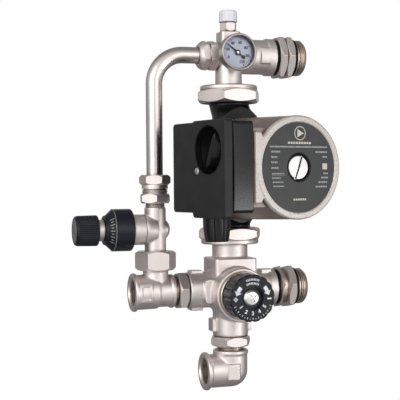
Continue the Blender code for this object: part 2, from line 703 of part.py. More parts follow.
def terminal_box():
    """Box on the motor's left side. Its own frame: X to the front, Y up, Z out to the left."""
    side = PUMP @ Matrix.Rotation(math.radians(-90), 4, "Y")
    middle = (61.2, 0.5)
    base = prism(rounded_corners(81, 76, 3, 2, middle), 44.3, 64.2, side)
    base = cut(
        base,
        prism(rounded_corners(76, 71, 2, 1, middle), 46.8, 66, side),
        rod(7.0, -50, -30, side @ at(61, 0, 54, ALONG_FRONT.inverted()), SMALL),
    )
    add_part("terminal_box_base", base, "dark_plastic")
    knob = (77.0, 14.5)
    cover = join(
        prism(rounded_corners(81, 76, 3, 2, middle), 64.5, 72.5, side),
        prism(rounded_corners(50, 81.4, 3, 2, (77.0, -1.0)), 64.5, 72.5, side),
        rod(21.2, 59, 66, side @ at(*knob, 0)),
    )
    cover = cut(
        cover,
        prism(rounded_corners(76, 71, 2, 1, middle), 62.5, 70.3, side),
    )
    cover = join(cover, ring(20.4, 21.2, 59, 71.5, side @ at(*knob, 0)),
                 rod(21.2, 57.5, 59.2, side @ at(*knob, 0)),
                 rod(4.0, 62.5, 71.5, side @ at(58, -2.5, 0), SMALL))
    cover = cut(
        cover,
        rod(20.0, 59.0, 75, side @ at(*knob, 0)),
        rod(2.2, 56, 75, side @ at(58, -2.5, 0), SMALL),
        rod(3.9, 70, 75, side @ at(58, -2.5, 0), SMALL),
        rod(3.3, 55, 60, side @ at(*knob, 0), SMALL),
    )
    add_part("terminal_box_cover", cover, "dark_plastic")
    head = join(
        chamfered_rod(3.4, 70.3, 72.0, 0.4, side @ at(58, -2.5, 0), SMALL),
        rod(1.8, 61, 70.6, side @ at(58, -2.5, 0), 12),
    )
    add_part("cover_screw", head, "bright_steel", tuple(side @ Vector((58, -2.5, 71))))
    grip = [(-16.5, -3.0), (-12, -4.6), (12, -4.6), (16.5, -3.0), (16.5, 3.0), (12, 4.6),
            (-12, 4.6), (-16.5, 3.0)]
    turn = Matrix.Rotation(math.radians(62), 4, "Z")
    selector = join(
        rod(19.6, 59.4, 61.4, side @ at(*knob, 0)),
        prism(grip, 61, 70.5, side @ at(*knob, 0) @ turn),
        rod(3.0, 52, 60, side @ at(*knob, 0), SMALL),
    )
    add_part("speed_selector", selector, "dark_plastic",
             tuple(side @ Vector((*knob, 62))))


def cable_gland():
    """Gland below the terminal box, its own axis down."""
    side = PUMP @ Matrix.Rotation(math.radians(-90), 4, "Y")
    down = side @ at(61, 0, 54, ALONG_FRONT)
    body = join(
        rod(9.6, 37.8, 41.5, down, SMALL),
        rod(6.7, 33, 38.2, down, SMALL),
    )
    add_part("cable_gland", cut(body, rod(4.2, 30, 44, down, SMALL)), "dark_plastic")
    corners = [
        ((11.8 if i % 2 else 10.9) * math.cos(math.tau * i / 16),
         (11.8 if i % 2 else 10.9) * math.sin(math.tau * i / 16))
        for i in range(16)
    ]
    nut = cut(
        prism(corners, 41.8, 62, down),
        turned([(12.2, 41), (14, 41), (14, 63), (10.2, 63), (11.4, 58), (12.2, 50)], down, SMALL),
        turned([(0, 40), (7.5, 40), (7.5, 58), (4.2, 60), (4.2, 63), (0, 63)], down, SMALL),
    )
    add_part("cable_gland_nut", nut, "dark_plastic")


def main():
    clear_scene()
    outlet("top", TOP_Z, math.radians(30))
    outlet("lower", 0.0, math.radians(20))
    top_tee()
    air_vent()
    thermometer()
    bypass_pipe()
    pipe_fittings()
    bypass_valve()
    return_tee()
    return_nipple()
    mixing_valve()
    lower_connection()
    pump_unions()
    pump_housing()
    motor()
    terminal_box()
    cable_gland()


main()
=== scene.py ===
import math

import bmesh
import bpy
from mathutils import Matrix, Vector


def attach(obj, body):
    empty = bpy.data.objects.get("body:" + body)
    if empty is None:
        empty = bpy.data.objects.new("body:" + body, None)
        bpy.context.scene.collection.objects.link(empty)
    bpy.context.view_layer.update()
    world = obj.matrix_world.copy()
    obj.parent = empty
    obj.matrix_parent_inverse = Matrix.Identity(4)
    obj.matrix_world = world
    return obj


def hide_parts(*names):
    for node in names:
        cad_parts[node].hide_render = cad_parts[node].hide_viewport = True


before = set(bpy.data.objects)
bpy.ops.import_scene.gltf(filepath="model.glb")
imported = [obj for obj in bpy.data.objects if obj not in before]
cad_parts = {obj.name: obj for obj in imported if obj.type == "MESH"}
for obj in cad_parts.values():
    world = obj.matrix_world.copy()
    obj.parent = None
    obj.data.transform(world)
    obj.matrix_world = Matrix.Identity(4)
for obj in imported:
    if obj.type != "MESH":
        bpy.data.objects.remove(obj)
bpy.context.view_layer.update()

# ---- Places, in millimetres: pieces are drawn at full size in mm and scaled once, in makePiece
mm = 0.001
pumpX, columnX = -72.0, -143.2           # the two upright axes
topZ, bypassZ, elbowZ, knobZ = 213.5, 56.2, -75.0, -3.2
runEnd = -29.5                           # right end of both cast bodies
pipeRadius, pipeBend = 7.5, 27.0
thermometerZ = topZ + 0.8
fine, coarse = 96, 48                    # sides of a visible round piece, and of a small one


def at(x, y, z):
    return Matrix.Translation((x, y, z))


def turn(degrees, axis="Z"):
    return Matrix.Rotation(math.radians(degrees), 4, axis)


alongX, alongLeft, alongFront = turn(90, "Y"), turn(-90, "Y"), turn(90, "X")
upPump, upColumn = at(pumpX, 0, 0), at(columnX, 0, 0)
pumpFrame = at(pumpX, 0, 110) @ turn(14) @ alongFront      # Z runs out along the motor
faceFrame = pumpFrame @ at(0, 0, 1.5)
boxFrame = pumpFrame @ turn(-90, "Y")                      # X to the front, Y up, Z out to the left


# ---- Shapes, each a bmesh in millimetres

def placed(bm, place=Matrix.Identity(4)):
    bmesh.ops.remove_doubles(bm, verts=bm.verts, dist=1e-4)
    bmesh.ops.recalc_face_normals(bm, faces=bm.faces)
    bmesh.ops.transform(bm, matrix=place, verts=bm.verts)
    return bm


# Rounds an outline's corners; a point's third number is its own radius
def softOutline(outline, soft, steps=3):
    rounded = []
    for i, point in enumerate(outline):
        here = Vector(point[:2])
        radius = point[2] if len(point) > 2 else soft
        back = Vector(outline[i - 1][:2]) - here
        ahead = Vector(outline[(i + 1) % len(outline)][:2]) - here
        shortest = min(back.length, ahead.length)
        if here.x < 1e-6 or radius <= 0 or shortest < 1e-6:
            rounded.append(here)
            continue
        corner = back.angle(ahead)
        if corner > math.radians(174):
            rounded.append(here)
            continue
        reach = min(radius / math.tan(corner / 2), 0.45 * shortest)
        start, end = here + back.normalized() * reach, here + ahead.normalized() * reach
        for k in range(steps + 1):
            t = k / steps
            rounded.append(start * (1 - t) ** 2 + here * 2 * t * (1 - t) + end * t * t)
    return rounded


# A closed outline of (radius, height) points spun about Z
def turned(outline, place=Matrix.Identity(4), sides=fine, soft=0.25):
    bm = bmesh.new()
    points = [bm.verts.new((p.x, 0, p.y)) for p in softOutline(outline, soft)]
    edges = [bm.edges.new(pair) for pair in zip(points, points[1:] + points[:1])]
    onAxis = [e for e in edges if all(v.co.x < 1e-6 for v in e.verts)]
    bmesh.ops.delete(bm, geom=onAxis, context="EDGES")
    bmesh.ops.spin(bm, geom=bm.verts[:] + bm.edges[:], cent=(0, 0, 0), axis=(0, 0, 1),
                   angle=math.tau, steps=sides, use_merge=True)
    return placed(bm, place)


def rod(radius, start, end, place=Matrix.Identity(4), sides=fine, soft=0.25):
    return turned([(0, start), (radius, start), (radius, end), (0, end)], place, sides, soft)


def ring(inner, outer, start, end, place=Matrix.Identity(4), sides=fine, soft=0.25):
    outline = [(inner, start), (outer, start), (outer, end), (inner, end)]
    return turned(outline, place, sides, soft)


# A box between two corners, its upright edges rounded by corner and all its edges by soft
def box(low, high, place=Matrix.Identity(4), corner=0.0, soft=0.0):
    bm = bmesh.new()
    bmesh.ops.create_cube(bm, size=1)
    size, middle = Vector(high) - Vector(low), (Vector(high) + Vector(low)) / 2
    bmesh.ops.scale(bm, vec=size, verts=bm.verts)
    bmesh.ops.translate(bm, vec=middle, verts=bm.verts)
    if corner:
        upright = [e for e in bm.edges if abs(e.verts[0].co.z - e.verts[1].co.z) > 1e-6]
        bmesh.ops.bevel(bm, geom=upright, offset=corner, segments=6, profile=0.5,
                        affect="EDGES", material=-1)
    return placed(bevelled(bm, soft) if soft else bm, place)


# Sharp edges rounded off
def bevelled(bm, width, angle=30, segments=2):
    sharp = [e for e in bm.edges
             if len(e.link_faces) == 2 and e.calc_face_angle(0) > math.radians(angle)]
    bmesh.ops.bevel(bm, geom=sharp, offset=width, segments=segments, profile=0.5,
                    affect="EDGES", material=-1, clamp_overlap=True)
    return bm


# Corner points pulled up into a slab
def slab(corners, start, end, place=Matrix.Identity(4)):
    bm = bmesh.new()
    face = bm.faces.new([bm.verts.new((x, y, start)) for x, y in corners])
    raised = bmesh.ops.extrude_face_region(bm, geom=[face])["geom"]
    lifted = [v for v in raised if isinstance(v, bmesh.types.BMVert)]
    bmesh.ops.translate(bm, verts=lifted, vec=(0, 0, end - start))
    return placed(bm, place)


def together(*shapes):
    whole = bmesh.new()
    for bm in shapes:
        mesh = bpy.data.meshes.new("work")
        bm.to_mesh(mesh)
        bm.free()
        whole.from_mesh(mesh)
        bpy.data.meshes.remove(mesh)
    return whole


# A bmesh after modifiers, each given as (type, {setting: value})
def worked(bm, *steps, tool=None):
    holders = []
    for shape in (bm, tool):
        if shape is None:
            continue
        mesh = bpy.data.meshes.new("work")
        shape.to_mesh(mesh)
        shape.free()
        holders.append(bpy.data.objects.new("work", mesh))
        bpy.context.collection.objects.link(holders[-1])
    for kind, settings in steps:
        step = holders[0].modifiers.new("step", kind)
        for key, value in settings.items():
            setattr(step, key, value)
        if kind == "BOOLEAN":
            step.object = holders[1]
    result = bmesh.new()
    result.from_object(holders[0], bpy.context.evaluated_depsgraph_get())
    for holder in holders:
        mesh = holder.data
        bpy.data.objects.remove(holder)
        bpy.data.meshes.remove(mesh)
    return result


def boolean(base, tool, operation):
    result = worked(base, ("BOOLEAN", {"operation": operation, "solver": "EXACT"}), tool=tool)
    bmesh.ops.remove_doubles(result, verts=result.verts, dist=1e-3)
    bmesh.ops.dissolve_degenerate(result, edges=result.edges, dist=1e-3)
    return result


def cut(base, *tools):
    for tool in tools:
        base = boolean(base, tool, "DIFFERENCE")
    return base


def joined(base, *others):
    for other in others:
        base = boolean(base, other, "UNION")
    return base


# Overlapping closed shapes melted into one casting with soft inner corners
def cast(shapes, voxel=0.55, smoothing=8):
    return worked(
        together(*shapes),
        ("REMESH", {"mode": "VOXEL", "voxel_size": voxel, "use_smooth_shade": True}),
        ("SMOOTH", {"factor": 0.5, "iterations": smoothing}),
    )


# Hexagonal bar; chamfer is how far the flats are turned down at its start and end
def hexBar(acrossFlats, start, end, place, degrees=0.0, chamfer=(1, 1), soft=0.22):
    bm = bmesh.new()
    reach = acrossFlats / math.sqrt(3)
    bmesh.ops.create_cone(bm, cap_ends=True, segments=6, radius1=reach, radius2=reach,
                          depth=end - start)
    bmesh.ops.transform(bm, matrix=at(0, 0, (start + end) / 2) @ turn(degrees - 30),
                        verts=bm.verts)
    full, flat = reach + 0.3, acrossFlats / 2
    outline = [(0, start)]
    if chamfer[0]:
        shoulder = flat * 0.97
        outline += [(shoulder, start), (full, start + (full - shoulder) * 0.55 * chamfer[0])]
    else:
        outline += [(full, start)]
    if chamfer[1]:
        shoulder = flat * 0.97
        outline += [(full, end - (full - shoulder) * 0.55 * chamfer[1]), (shoulder, end)]
    else:
        outline += [(full, end)]
    outline += [(0, end)]
    bm = boolean(bm, turned(outline, soft=0), "INTERSECT")
    return placed(bevelled(bm, soft, 14), place)


# Helical thread ridge that stands on a core; a negative depth makes an inside thread
def thread(core, depth, pitch, start, end, place, taper=0.0, sides=coarse):
    bm = bmesh.new()
    half, crest = pitch * 0.46, pitch * 0.09
    root = core - math.copysign(0.15, depth)
    first = start + half
    corners = [(root, -half), (root, half), (core + depth, crest), (core + depth, -crest)]
    face = bm.faces.new([bm.verts.new((r, 0, first + h)) for r, h in corners])
    climb = end - start - 2 * half
    steps = max(8, round(sides * climb / pitch))
    bmesh.ops.spin(bm, geom=[face, *face.edges, *face.verts], cent=(0, 0, 0), axis=(0, 0, 1),
                   dvec=(0, 0, climb / steps), angle=math.tau * climb / pitch, steps=steps)
    for v in bm.verts:
        if taper and v.co.z > end - taper:
            reach = Vector((v.co.x, v.co.y)).length
            limit = core + depth - 0.55 * (v.co.z - end + taper)
            if reach > limit:
                v.co.x, v.co.y = v.co.x * limit / reach, v.co.y * limit / reach
    return placed(bm, place)


# Radius of a turned shape changed round its axis: change(angle) is added beyond a radius
def fluted(bm, beyond, low, high, change, place):
    for v in bm.verts:
        reach = Vector((v.co.x, v.co.y)).length
        if reach > beyond and low <= v.co.z <= high:
            factor = (reach + change(math.atan2(v.co.y, v.co.x))) / reach
            v.co.x, v.co.y = v.co.x * factor, v.co.y * factor
    return placed(bm, place)


# Raised pad that follows a round wall: the part of a larger rod inside a box
def wallPad(radius, start, end, place, low, high, hollow=None):
    pad = boolean(rod(radius, start, end, place, coarse, 0), box(low, high), "INTERSECT")
    return cut(pad, box(*hollow)) if hollow else pad


def makePiece(name, bm, finish, body="root", nodes=(), sharp=32):
    bmesh.ops.scale(bm, vec=(mm, mm, mm), verts=bm.verts)
    mesh = bpy.data.meshes.new(name)
    bm.to_mesh(mesh)
    bm.free()
    mesh.materials.append(finish)
    mesh.shade_smooth()
    mesh.set_sharp_from_angle(angle=math.radians(sharp))
    obj = bpy.data.objects.new(name, mesh)
    bpy.context.scene.collection.objects.link(obj)
    even = obj.modifiers.new("even_normals", "WEIGHTED_NORMAL")
    even.keep_sharp = True
    even.weight = 90
    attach(obj, body)
    if nodes:
        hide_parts(*nodes)
    return obj


def stageDone(text):
    print("scene:", text)


# ---- Finishes

class Nodes:
    def __init__(self, name):
        self.material = bpy.data.materials.new(name)
        self.material.use_nodes = True
        self.tree = self.material.node_tree
        self.shader = self.tree.nodes["Principled BSDF"]
        self.place = self.add("ShaderNodeTexCoord").outputs["Object"]

    def add(self, kind, **settings):
        node = self.tree.nodes.new(kind)
        for key, value in settings.items():
            setattr(node, key, value)
        return node

    def link(self, source, target):
        self.tree.links.new(source, target)

    def set(self, **values):
        for key, value in values.items():
            self.shader.inputs[key.replace("_", " ")].default_value = value

    def noise(self, scale, detail=3.0, stretch=None):
        node = self.add("ShaderNodeTexNoise")
        node.inputs["Scale"].default_value = scale
        node.inputs["Detail"].default_value = detail
        source = self.place
        if stretch:
            mapping = self.add("ShaderNodeMapping")
            mapping.inputs["Scale"].default_value = stretch
            self.link(self.place, mapping.inputs["Vector"])
            source = mapping.outputs["Vector"]
        self.link(source, node.inputs["Vector"])
        return node.outputs["Fac"]

    def ranged(self, value, low, high, toLow, toHigh):
        node = self.add("ShaderNodeMapRange")
        for key, number in zip(("From Min", "From Max", "To Min", "To Max"),
                               (low, high, toLow, toHigh)):
            node.inputs[key].default_value = number
        self.link(value, node.inputs["Value"])
        return node.outputs["Result"]

    def mixed(self, factor, first, second, blend="MIX"):
        node = self.add("ShaderNodeMix", data_type="RGBA", blend_type=blend)
        if isinstance(factor, float):
            node.inputs["Factor"].default_value = factor
        else:
            self.link(factor, node.inputs["Factor"])
        for socket, value in ((node.inputs[6], first), (node.inputs[7], second)):
            if isinstance(value, tuple):
                socket.default_value = (*value, 1.0)
            else:
                self.link(value, socket)
        return node.outputs[2]

    def bump(self, *layers):
        normal = None
        for height, strength, distance in layers:
            node = self.add("ShaderNodeBump")
            node.inputs["Strength"].default_value = strength
            node.inputs["Distance"].default_value = distance
            self.link(height, node.inputs["Height"])
            if normal:
                self.link(normal, node.inputs["Normal"])
            normal = node.outputs["Normal"]
        self.link(normal, self.shader.inputs["Normal"])

    def crevices(self, distance):
        node = self.add("ShaderNodeAmbientOcclusion", samples=6)
        node.inputs["Distance"].default_value = distance
        return node.outputs["AO"]


# Metal with slow colour patches, fine grain in its gloss and painted shade in its corners, darkened
# by ambient occlusion
def metalFinish(name, bright, dull, shadeColour, rough, spread, grain, dent, patch=45.0,
                shadeReach=0.004, metallic=1.0):
    n = Nodes(name)
    slow = n.ranged(n.noise(patch, 4.0), 0.35, 0.68, 0.0, 1.0)
    colour = n.mixed(slow, bright, dull)
    # Painted shade: ambient occlusion darkens the colour towards the third colour in corners,
    # creases and gaps between parts
    unshaded = n.ranged(n.crevices(shadeReach), 0.25, 0.85, 0.0, 1.0)
    n.link(n.mixed(unshaded, shadeColour, colour), n.shader.inputs["Base Color"])
    small = n.noise(grain, 5.0)
    gloss = n.ranged(small, 0.3, 0.7, rough - spread, rough + spread)
    n.link(gloss, n.shader.inputs["Roughness"])
    n.bump((small, dent, 0.00006), (n.noise(grain / 6, 2.0), dent * 0.6, 0.00012))
    n.set(Metallic=metallic)
    return n.material


# Moulded plastic or paint: fine grain and slightly greyer worn patches
def plasticFinish(name, deep, worn, rough, spread, grain, dent, coat=0.0, patch=60.0,
                  gleam=0.5):
    n = Nodes(name)
    slow = n.ranged(n.noise(patch, 5.0), 0.45, 0.8, 0.0, 1.0)
    n.link(n.mixed(slow, deep, worn), n.shader.inputs["Base Color"])
    small = n.noise(grain, 3.0)
    n.link(n.ranged(small, 0.3, 0.7, rough - spread, rough + spread),
           n.shader.inputs["Roughness"])
    n.bump((small, dent, 0.00008))
    n.set(Coat_Weight=coat, Coat_Roughness=0.12, Specular_IOR_Level=gleam)
    return n.material


# Sand-cast and tumbled aluminium: pale with dark pits and bright specks
def speckledFinish(name, bright, dull, pit, rough):
    n = Nodes(name)
    cells = n.add("ShaderNodeTexVoronoi")
    cells.inputs["Scale"].default_value = 1500
    n.link(n.place, cells.inputs["Vector"])
    grain = n.noise(2200.0, 4.0)
    colour = n.mixed(n.ranged(grain, 0.38, 0.62, 0.0, 1.0), dull, bright)
    pits = n.ranged(n.noise(900.0, 6.0), 0.30, 0.42, 0.0, 1.0)
    n.link(n.mixed(pits, pit, colour), n.shader.inputs["Base Color"])
    n.link(n.ranged(grain, 0.3, 0.7, rough - 0.1, rough + 0.12), n.shader.inputs["Roughness"])
    n.bump((grain, 0.35, 0.0001), (cells.outputs["Distance"], 0.2, 0.0002))
    n.set(Metallic=0.55)
    return n.material


def glassFinish(name):
    n = Nodes(name)
    n.link(n.ranged(n.noise(200.0, 2.0), 0.3, 0.7, 0.02, 0.05), n.shader.inputs["Roughness"])
    n.set(Base_Color=(0.96, 0.97, 1.0, 1.0), Transmission_Weight=1.0, IOR=1.25)
    return n.material


def whiteCapFinish(name):
    n = plasticFinish(name, (0.80, 0.81, 0.84), (0.74, 0.76, 0.80), 0.35, 0.06, 900.0, 0.06)
    shader = n.node_tree.nodes["Principled BSDF"]
    shader.inputs["Subsurface Weight"].default_value = 0.25
    shader.inputs["Subsurface Radius"].default_value = (0.003, 0.003, 0.003)
    shader.inputs["Subsurface Scale"].default_value = 1.0
    return n


# Each metal's third colour is the painted shade for its corners and gaps
castNickel = metalFinish("cast_nickel", (0.85, 0.785, 0.765), (0.77, 0.70, 0.68),
                         (0.26, 0.20, 0.17), 0.46, 0.07, 1500.0, 0.30)
nutNickel = metalFinish("machined_nickel", (0.86, 0.79, 0.765), (0.78, 0.705, 0.68),
                        (0.28, 0.22, 0.18), 0.42, 0.06, 1800.0, 0.12)
pipeNickel = metalFinish("polished_nickel", (0.72, 0.66, 0.645), (0.66, 0.60, 0.59),
                         (0.28, 0.22, 0.19), 0.27, 0.05, 1600.0, 0.06, patch=30.0)
threadNickel = metalFinish("threaded_nickel", (0.72, 0.62, 0.55), (0.60, 0.51, 0.44),
                           (0.16, 0.11, 0.08), 0.30, 0.08, 1800.0, 0.1, shadeReach=0.0015)
brightSteel = metalFinish("bright_steel", (0.92, 0.91, 0.90), (0.86, 0.85, 0.84),
                          (0.05, 0.05, 0.05), 0.34, 0.04, 2600.0, 0.04, shadeReach=0.0009)
bezelSteel = metalFinish("bezel_steel", (0.46, 0.43, 0.41), (0.38, 0.35, 0.33),
                         (0.14, 0.12, 0.11), 0.30, 0.05, 2400.0, 0.05, shadeReach=0.002)
copperFinish = metalFinish("copper", (0.72, 0.38, 0.25), (0.60, 0.30, 0.19),
                           (0.20, 0.09, 0.05), 0.32, 0.08, 1500.0, 0.1)
motorPaint = metalFinish("motor_aluminium", (0.30, 0.255, 0.23), (0.24, 0.20, 0.18),
                         (0.08, 0.06, 0.05), 0.42, 0.08, 1500.0, 0.3, metallic=0.75)
blackIron = plasticFinish("black_iron", (0.004, 0.004, 0.004), (0.010, 0.010, 0.010),
                          0.30, 0.08, 700.0, 0.30, gleam=0.35)
charcoalPlastic = plasticFinish("charcoal_plastic", (0.018, 0.018, 0.019),
                                (0.026, 0.026, 0.027), 0.46, 0.06, 2400.0, 0.22, gleam=0.30)
glossPlastic = plasticFinish("gloss_plastic", (0.005, 0.005, 0.0055),
                             (0.010, 0.010, 0.011), 0.26, 0.05, 1800.0, 0.06, gleam=0.40)
knobPlastic = plasticFinish("blue_black_plastic", (0.006, 0.0075, 0.014),
                            (0.012, 0.014, 0.022), 0.28, 0.05, 1800.0, 0.06, gleam=0.32)
insertPlastic = plasticFinish("grey_insert", (0.13, 0.13, 0.145), (0.18, 0.18, 0.195),
                              0.38, 0.05, 1500.0, 0.08)
printWhite = plasticFinish("white_print", (0.80, 0.82, 0.85), (0.70, 0.72, 0.76),
                           0.5, 0.05, 2500.0, 0.05)
printGrey = plasticFinish("grey_print", (0.36, 0.37, 0.37), (0.28, 0.29, 0.29),
                          0.5, 0.05, 2500.0, 0.05)
printPale = plasticFinish("pale_print", (0.62, 0.57, 0.52), (0.55, 0.50, 0.46),
                          0.5, 0.05, 2500.0, 0.05)
labelFilm = plasticFinish("label_film", (0.052, 0.054, 0.0535), (0.064, 0.066, 0.065),
                          0.42, 0.06, 3000.0, 0.1, gleam=0.3)
rubberFinish = plasticFinish("rubber", (0.005, 0.005, 0.005), (0.010, 0.010, 0.010),
                             0.6, 0.08, 1800.0, 0.25, gleam=0.2)
dialPaint = plasticFinish("dial_paint", (0.66, 0.68, 0.79), (0.70, 0.72, 0.81),
                          0.5, 0.05, 2000.0, 0.04)
# Darker blue-grey, painted as the bezel's shadow on the dial
dialShadowPaint = plasticFinish("dial_painted_shadow", (0.22, 0.25, 0.34), (0.26, 0.29, 0.38),
                         0.5, 0.05, 2000.0, 0.04)
dialInk = plasticFinish("dial_ink", (0.012, 0.015, 0.025), (0.02, 0.024, 0.038),
                        0.5, 0.05, 2000.0, 0.04, gleam=0.3)
speckled = speckledFinish("speckled_aluminium", (0.74, 0.69, 0.65), (0.54, 0.49, 0.455),
                          (0.25, 0.21, 0.18), 0.48)
lensGlass = glassFinish("lens_glass")
whiteCap = whiteCapFinish("white_cap")
stageDone("finishes made")


# ---- Manifold connections, the same at the top and at the bottom

outletSettings = {"core": 15.6, "ridge": 1.0, "pitch": 2.1, "flats": 36.5,
                  "turns": {"top": 30, "lower": 20}}


def makeOutlet(prefix, z):
    s = outletSettings
    place = at(0, 0, z) @ alongX
    body = turned([(11.5, -43), (14.4, -43), (14.4, -9.2), (s["core"], -9.2),
                   (s["core"], -2.4), (14.6, -0.4, 0.8), (14.0, 0), (11.5, 0)], place)
    ridges = thread(s["core"], s["ridge"], s["pitch"], -9.2, -0.3, place, taper=2.6)
    makePiece(f"{prefix}_outlet_thread", together(body, ridges), threadNickel,
              nodes=[f"{prefix}_outlet_nipple"])
    degrees = s["turns"][prefix]
    spanner = hexBar(s["flats"], -19.4, -12, place, degrees, (1.1, 1.1), 0.3)
    makePiece(f"{prefix}_outlet_hexagon", cut(spanner, rod(14.5, -20, -11, place)),
              nutNickel)
    nut = hexBar(s["flats"], -27, -19.7, place, degrees, (1.1, 1.1), 0.3)
    makePiece(f"{prefix}_outlet_lock_nut_nickel", cut(nut, rod(15.3, -30, -18, place)), nutNickel,
              nodes=[f"{prefix}_outlet_lock_nut"])
    seal = ring(14.7, 17.5, -11.8, -9.3, place, soft=1.0)
    inner = ring(14.6, 15.9, -29.2, -27.2, place, soft=0.6)
    makePiece(f"{prefix}_outlet_o_ring_rubber", together(seal, inner), rubberFinish,
              nodes=[f"{prefix}_outlet_o_ring"])


makeOutlet("top", topZ)
makeOutlet("lower", 0.0)
stageDone("manifold connections made")


# ---- Top tee, air vent and thermometer

teeSettings = {"tube": 16.0, "pad": 1.1, "voxel": 0.5}


def makeTopTee():
    s = teeSettings
    along = at(pumpX, 0, topZ) @ alongX
    front = at(pumpX, 0, thermometerZ) @ alongFront
    end = runEnd - pumpX
    main = [
        turned([(0, -9), (12, -9), (16, -2), (16, end), (0, end)], along, soft=1),
        rod(10.2, -22, -5, along, coarse),
        turned([(0, 180.9), (22.3, 180.9), (22.3, 183.2), (12.4, 183.2, 2), (12, 214), (0, 214)],
               upPump),
        box((-9.5, -9.5, topZ - 6), (9.5, 9.5, 235.6), upPump, corner=3.5),
        turned([(0, 0), (10.5, 0), (10.5, 15), (9.2, 18.5), (0, 18.5)], front),
    ]
    rounded = cast(main, s["voxel"], 10)
    pad = wallPad(s["tube"] + s["pad"], -60, 60, along, (-45.8, -20, 206.2), (-36.4, 0, 220.6))
    collar = rod(17.2, end - 7.2, end, along, soft=0.6)
    body = cast([rounded, pad, collar], s["voxel"], 3)
    body = cut(
        body,
        turned([(0, -14), (6.2, -14), (6.2, 0), (12.5, 4), (12.5, end - 14), (15.3, end - 14),
                (15.3, end + 2), (0, end + 2)], along, coarse, 0),
        rod(7.8, -24, -13, along, coarse), rod(9.3, 178, 212, upPump, coarse),
        rod(4.9, 212, 238, upPump, coarse), rod(5.3, 0, 20, front, coarse),
    )
    makePiece("top_tee", body, castNickel, nodes=["top_tee_body"])


ventSettings = {"flats": 14.0, "ribs": 26, "rib": 0.16}


def makeVent():
    s = ventSettings
    stem = hexBar(s["flats"], 235.9, 244.0, upPump, 0, (2.2, 1), 0.3)
    stem = joined(stem, rod(4.6, 228, 236.4, upPump, coarse), rod(4.6, 243.5, 249.5, upPump, coarse))
    makePiece("vent_stem", cut(stem, rod(1.8, 227, 251, upPump, coarse)), castNickel,
              nodes=["vent_body"])
    cap = turned([(0, 251.5), (4.9, 251.5), (4.9, 244.7), (8.45, 244.7), (8.75, 245.3, 0.3),
                  (8.45, 246.6, 0.6), (8.1, 255.5, 2.6), (0, 255.5)], sides=260)
    ribs = s["ribs"]
    cap = fluted(cap, 7.9, 246.9, 253.2,
                 lambda a: s["rib"] * (0.5 + 0.5 * math.cos(ribs * a)), upPump)
    makePiece("vent_cap_white", cap, whiteCap, "air_cap", ["vent_cap"])


dialSettings = {"start": 118.0, "sweep": 270.0, "marks": 36, "numbers": 7, "step": 20}


# Flat text as a mesh in millimetres, centred
def textShape(words, size, depth, place):
    curve = bpy.data.curves.new("work", "FONT")
    curve.body = words
    curve.size = size
    curve.align_x, curve.align_y = "CENTER", "CENTER"
    curve.extrude = depth / 2
    curve.offset = size * 0.035
    curve.resolution_u = 3
    holder = bpy.data.objects.new("work", curve)
    bpy.context.collection.objects.link(holder)
    bpy.context.view_layer.update()
    mesh = bpy.data.meshes.new_from_object(holder)
    bm = bmesh.new()
    bm.from_mesh(mesh)
    bpy.data.objects.remove(holder)
    bpy.data.curves.remove(curve)
    bpy.data.meshes.remove(mesh)
    return placed(bm, place)


def makeThermometer():
    s = dialSettings
    front = at(pumpX, 0, thermometerZ) @ alongFront
    case = turned([(0, 4), (4.9, 4), (4.9, 18.9), (13.5, 19.0, 1.5), (15.9, 20.6, 1.5),
                   (15.9, 27), (14.9, 27), (14.9, 22.2), (1, 22.2), (1, 18), (0, 18)], front)
    makePiece("thermometer_case_steel", case, bezelSteel, nodes=["thermometer_case"])
    bezel = turned([(16.2, 21), (16.8, 21, 0.4), (16.8, 29.0, 0.7), (16.0, 30, 0.6),
                    (15.1, 30, 0.5), (14.2, 28.4), (16.2, 28.4)], front)
    makePiece("thermometer_bezel_steel", bezel, bezelSteel, nodes=["thermometer_bezel"])
    makePiece("thermometer_dial_face", ring(1.3, 14.6, 22.6, 23.6, front), dialPaint,
              nodes=["thermometer_dial"])
    # A darker ring sector at the upper right of the dial's rim: painted shadow of the bezel
    bezelShadow = ring(13.5, 14.5, 23.55, 23.68, sides=fine, soft=0)
    keep = slab([(0, 0), (40, -26), (40, 40), (-14, 40)], 23, 24)
    bezelShadow = boolean(bezelShadow, keep, "INTERSECT")
    makePiece("thermometer_painted_shadow", placed(bezelShadow, front), dialShadowPaint)
    prints = []
    for i in range(s["marks"] + 1):
        angle = s["start"] - s["sweep"] * i / s["marks"]
        main = i % 6 == 0
        length, width = (2.0, 0.6) if main else (1.2, 0.26)
        low = (-width / 2, 13.4 - length, 23.62)
        prints.append(box(low, (width / 2, 13.4, 23.74), front @ turn(angle)))
    for i in range(s["numbers"]):
        angle = math.radians(s["start"] - s["sweep"] * i / (s["numbers"] - 1) + 90)
        spot = at(9.3 * math.cos(angle), 9.3 * math.sin(angle), 23.68)
        prints.append(textShape(str(i * s["step"]), 3.5, 0.1, front @ spot))
    makePiece("thermometer_scale", together(*prints), dialInk)
    lens = turned([(0, 27.3), (15.6, 27.3), (15.6, 28.0), (0, 28.35)], front, soft=0.1)
    makePiece("thermometer_glass", lens, lensGlass, nodes=["thermometer_lens"])
    pointer = slab([(-0.7, -5.0), (-1.5, -5.6), (-1.3, -8.0), (0, -9.2), (1.3, -8.0),
                    (1.5, -5.6), (0.7, -5.0), (0.95, 0), (0.3, 12.6), (-0.3, 12.6),
                    (-0.95, 0)], 24.4, 24.85, front @ turn(52))
    hub = turned([(0, 18.6), (0.7, 18.6), (0.7, 24.1), (2.5, 24.1), (2.5, 25.2), (1.8, 25.5),
                  (0, 25.5)], front, coarse, 0.15)
    makePiece("thermometer_pointer", together(pointer, hub), dialInk, "needle",
              ["thermometer_needle"])
    pin = turned([(0, 25.3), (1.2, 25.3), (1.2, 25.75), (0, 26.0)], front, coarse, 0.1)
    makePiece("thermometer_pin", pin, brightSteel, "needle")


makeTopTee()
makeVent()
makeThermometer()
stageDone("top tee, vent and thermometer made")


# ---- Bypass pipe and its fittings

pipeSettings = {"sides": 64, "bendSteps": 48, "wall": 1.0}


